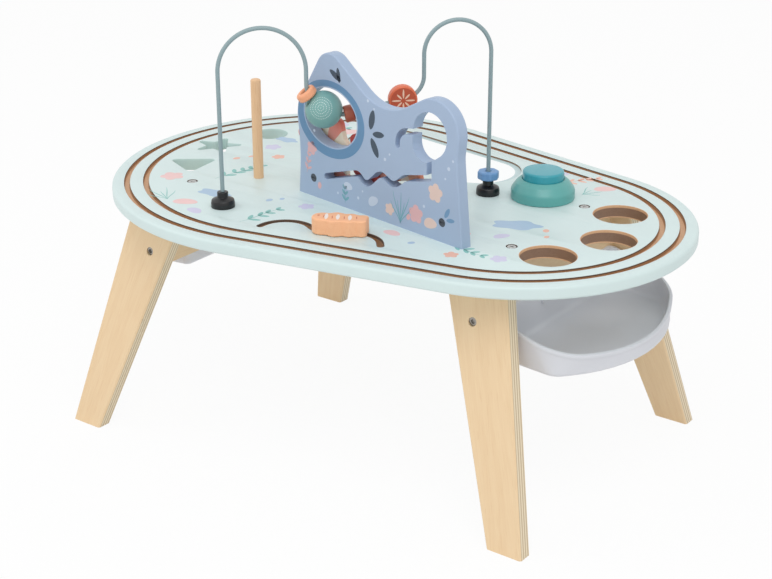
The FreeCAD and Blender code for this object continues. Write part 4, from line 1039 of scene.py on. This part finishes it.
topPrints = {
    "pink": ((238, 200, 198), motifs(blossom, [(-118, -99, 12, 10), (202, -66, 11, 40), (-66, 122, 10, 0)])
             + motifs(pebble, [(-56, -147, 12, 25), (152, -99, 9, -8), (248, 119, 11, 40)])),
    "coral": ((238, 186, 166), motifs(blossom, [(112, -106, 6.5, 20), (-72, 10, 7, 0), (225, -112, 7, 50)])
              + motifs(drop, [(262, -14, 5, 120), (270, -27, 4, 100), (-104, -20, 5, 70), (-96, -6, 4, 60),
                              (-28, 70, 5, 80)]) + sprig(203, 110, 42, 40, 8, 4, 11)),
    "teal": ((134, 194, 188), sprig(-78, -80, 92, 58, -12, 5, 13) + sprig(22, -158, 68, 46, 10, 4, 12)
             + sprig(208, -92, 4, 40, -9, 4, 11) + sprig(-112, 106, 24, 44, 8, 4, 11)
             + tuft(-74, -152, 150, 34, 5) + tuft(238, 92, 70, 22, 4)),
    "sky": ((172, 198, 222), motifs(cloud, [(-50, -112, 17, 8), (232, -16, 22, 25), (-102, 60, 13, 0)])
            + motifs(drop, [(6, -98, 5, 90), (14, -88, 4, 110), (180, -110, 4.5, 60), (-64, 84, 5, 30)])),
    "lilac": ((208, 206, 230), motifs(pebble, [(-32, -160, 9, -15), (236, -48, 8, 60), (-90, 140, 9, 0),
                                               (190, 134, 8, 30)])
              + motifs(blossom, [(46, -90, 8, 0), (-98, 32, 9, 30), (264, -96, 8, 0)])),
}
for name, (tone, shapes) in topPrints.items():
    film("top_print_" + name, level(0, 0), shapes, tone)

window = {"middle": (47.0, 83.2), "half": (37.6, 29.6), "rimMiddle": (47.1, 81.6), "rimHalf": (45.9, 37.0)}
rim = np.array(window["rimMiddle"]) + disk(1.0, 96) * window["rimHalf"]
inner = np.array(window["middle"]) + disk(1.0, 96) * window["half"]
film("panel_print_rim", upright(panelPlane), [rim], (98, 140, 178), hole=inner)
specks = [(120, 60, 1.6), (126, 66, 1.1), (84, 14, 1.5), (90, 22, 1.0), (200, 70, 1.8), (205, 78, 1.2),
          (196, 60, 1.1), (170, 28, 1.4), (56, 12, 1.2), (98, 110, 1.5), (106, 104, 1.0), (24, 66, 1.3)]
panelPrints = {
    "slate": ((62, 76, 92), [put(leaf(long, wide), x, y, turn) for long, wide, x, y, turn in (
        (19, 7.5, 101, 84, 78), (19, 7.5, 102, 76, -62), (15, 6, 104, 80, 8), (17, 6, 62, 121, 152),
        (14, 5, 60, 119, 100))]),
    "navy": ((112, 150, 186), [put(leaf(11, 4.5), 196, 24, 60), put(leaf(10, 4), 198, 22, 10)]),
    "coral": ((222, 178, 180), motifs(blossom, [(20, 48, 7, 0), (160, 18, 9, 20)])
              + motifs(drop, [(30, 12, 4.5, 80), (150, 12, 4, 60)]) + sprig(12, 22, 70, 18, 3, 3, 7)),
    "teal": ((118, 170, 184), tuft(140, 4, 88, 30, 7) + sprig(66, 4, 84, 15, 2, 3, 7)),
    "peach": ((226, 200, 190), motifs(blossom, [(184, 44, 9, 12), (126, 14, 6, 0)])
              + motifs(pebble, [(178, 14, 8, 10)])),
    "pale": ((198, 210, 228), motifs(pebble, [(70, 22, 6, 0), (104, 16, 7, 30)])
             + [put(disk(size, 16), x, y) for x, y, size in specks]),
}
for name, (tone, shapes) in panelPrints.items():
    film("panel_print_" + name, upright(panelPlane), shapes, tone)

fishTop = fishPlace @ Matrix.Translation(Vector((0, 0, fish["thick"])) * mm)
bands = [put(leaf(long, 3.4), x, -long / 2, 98) for x, long in ((-11.5, 15), (-1.0, 14), (10.0, 13))]
film("fish_print_bands", fishTop, bands, (252, 240, 232), "fish_slider")
marks = [put(disk(1.3, 20), -20, 1.5)]
marks += [put(stroke(bowed(7, 2.0), 0.9), x, y, turn)
          for x, y, turn in ((-6.5, -5, 80), (4.5, -5, 80), (15.5, -3, 80), (-15, -4, 70))]
film("fish_print_marks", fishTop, marks, (214, 112, 84), "fish_slider")

# Face of the disc bead: eight rays by turns long and short, an eighth of a turn apart
discFront = discPlace @ Matrix.Translation(Vector((0, 0, beads["disc"]["thick"] / 2)) * mm)
film("disc_print_face", discFront, [disk(12.0, 64)], (196, 88, 56), "disc")
rays = [put(leaf(9.0 - 2.5 * (i % 2), 1.7), 2.0 * cos(a), 2.0 * sin(a), degrees(a))
        for i, a in enumerate(0.785 * np.arange(8))]
film("disc_print_rays", discFront, rays, (246, 206, 178), "disc", 0.09)
print("prints laid")

# Dots on the ball, in rings between two angles from an axis, step and gap in degrees seen from its middle
dots = {"axis": (0.45, -0.82, 0.35), "from": 9, "to": 38, "step": 8.5, "gap": 5.4, "size": 0.36,
        "proud": 0.08}


def dotRings():
    # Each dot is a small raised octagon in its tangent plane: cos t along one tangent, sin t along the other
    axis = np.array(Vector(dots["axis"]).normalized())
    first = np.cross(axis, (0, 0, 1.0))
    first /= np.linalg.norm(first)
    second = np.cross(axis, first)
    rows = [np.array([[0.0, 0.0]])]
    for tilt in np.radians(np.arange(dots["from"], dots["to"], dots["step"])):
        count = int(round(2 * pi * sin(tilt) / radians(dots["gap"])))
        rows.append(columns(np.full(count, tilt), 2 * pi * np.arange(count) / count))
    tilt, way = np.concatenate(rows).T[:, :, None]
    out = np.cos(tilt) * axis + np.sin(tilt) * (np.cos(way) * first + np.sin(way) * second)
    u = np.cross(out, (0, 0, 1.0))
    u /= np.linalg.norm(u, axis=1)[:, None]
    flat = disk(dots["size"], 8)
    heights = [beads["green"]["radius"] + lift for lift in (-dots["proud"], dots["proud"])]
    dot = np.concatenate([np.column_stack([flat, np.full(8, high)]) for high in heights])
    points = dot @ np.stack([u, np.cross(out, u), out], axis=1)
    start = 16 * np.arange(len(out))[:, None, None]
    k = np.arange(8)
    sides = columns(k, (k + 1) % 8, 8 + (k + 1) % 8, 8 + k) + start
    caps = np.stack([k[::-1], k + 8]) + start
    faces = sides.reshape(-1, 4).tolist() + caps.reshape(-1, 8).tolist()
    addMesh("ball_print_dots", points.reshape(-1, 3) * mm + np.array(greenMiddle), faces,
            painted("ballDots", (230, 242, 240)), body="ball_green")


dotRings()
print("dots laid")

# Camera where the picture was taken from: millimetres, degrees, focal length and width in pixels
camera = {"spot": (855.8, -1182.4, 750.5), "yaw": -36.376, "down": 22.797, "roll": -0.083, "focal": 1593.18,
          "wide": 772, "sensor": 36.0, "clip": (0.05, 50.0)}
# Lamps in metres and watts, then the glow of the surround and the look of the floor
lamps = {"keyLamp": {"spot": (0.9, -1.0, 2.0), "size": 1.6, "power": 16.0},
         "fillLamp": {"spot": (-1.6, -1.2, 1.5), "size": 2.0, "power": 8.0}}
stage = {"aim": (0, 0, 0.2), "glow": 0.68, "half": 6.0, "tone": 0.94, "rough": 0.9, "lift": 0.92}


def placeCamera():
    data = bpy.data.cameras.new("viewCamera")
    data.sensor_width = camera["sensor"]
    data.sensor_fit = "HORIZONTAL"
    data.lens = camera["sensor"] * camera["focal"] / camera["wide"]
    data.clip_start, data.clip_end = camera["clip"]
    piece = newPiece("viewCamera", data)
    stand = Matrix.Translation(Vector(camera["spot"]) * mm)
    for axis, turn in (("Z", -camera["yaw"]), ("X", 90 - camera["down"]), ("Z", camera["roll"])):
        stand = stand @ Matrix.Rotation(radians(turn), 4, axis)
    piece.matrix_world = stand
    bpy.context.scene.camera = piece


def areaLamp(name, lamp):
    data = bpy.data.lights.new(name, "AREA")
    data.shape = "DISK"
    data.size = lamp["size"]
    data.energy = lamp["power"]
    piece = newPiece(name, data)
    piece.location = lamp["spot"]
    piece.rotation_euler = (Vector(stage["aim"]) - Vector(lamp["spot"])).to_track_quat("-Z", "Y").to_euler()


def seenDirectly(n):
    # One for camera, glossy and transmitted rays, nought for the light that falls on the object
    path = n.add("LightPath", {})
    mirrored = n.math("MAXIMUM", path["Is Glossy Ray"], path["Is Transmission Ray"])
    return n.math("MAXIMUM", path["Is Camera Ray"], mirrored)


def surround():
    # White where it is seen, weaker as a light
    world = bpy.data.worlds.new("surround")
    bpy.context.scene.world = world
    world.use_nodes = True
    n = Nodes(world.node_tree)
    glow = n.span(seenDirectly(n), 0.0, 1.0, stage["glow"], 1.0)
    n.add("OutputWorld", {"Surface": n.add("Background", {"Color": (1, 1, 1, 1), "Strength": glow})[0]})


def floor():
    # Pale matt floor, mostly lifted to white where it is seen, so that only soft shadows stay
    half = stage["half"]
    mesh = bpy.data.meshes.new("floor")
    corners = [(-half, -half, 0), (half, -half, 0), (half, half, 0), (-half, half, 0)]
    mesh.from_pydata(corners, [], [(0, 1, 2, 3)])
    piece = newPiece("floor", mesh)
    material, n = newMaterial("paleFloor")
    matt = n.add("BsdfPrincipled", {"Base Color": (stage["tone"], stage["tone"], stage["tone"], 1),
                                    "Roughness": stage["rough"], "Specular IOR Level": 0.0})[0]
    lift = n.times(seenDirectly(n), stage["lift"])
    mixed = n.add("MixShader", {0: lift, 1: matt, 2: n.add("Emission", {"Strength": 1.0})[0]})[0]
    n.add("OutputMaterial", {"Surface": mixed})
    mesh.materials.append(material)


placeCamera()
surround()
floor()
for name, lamp in lamps.items():
    areaLamp(name, lamp)
bpy.context.scene.view_settings.view_transform = "Standard"
print("camera, lamps and floor placed")
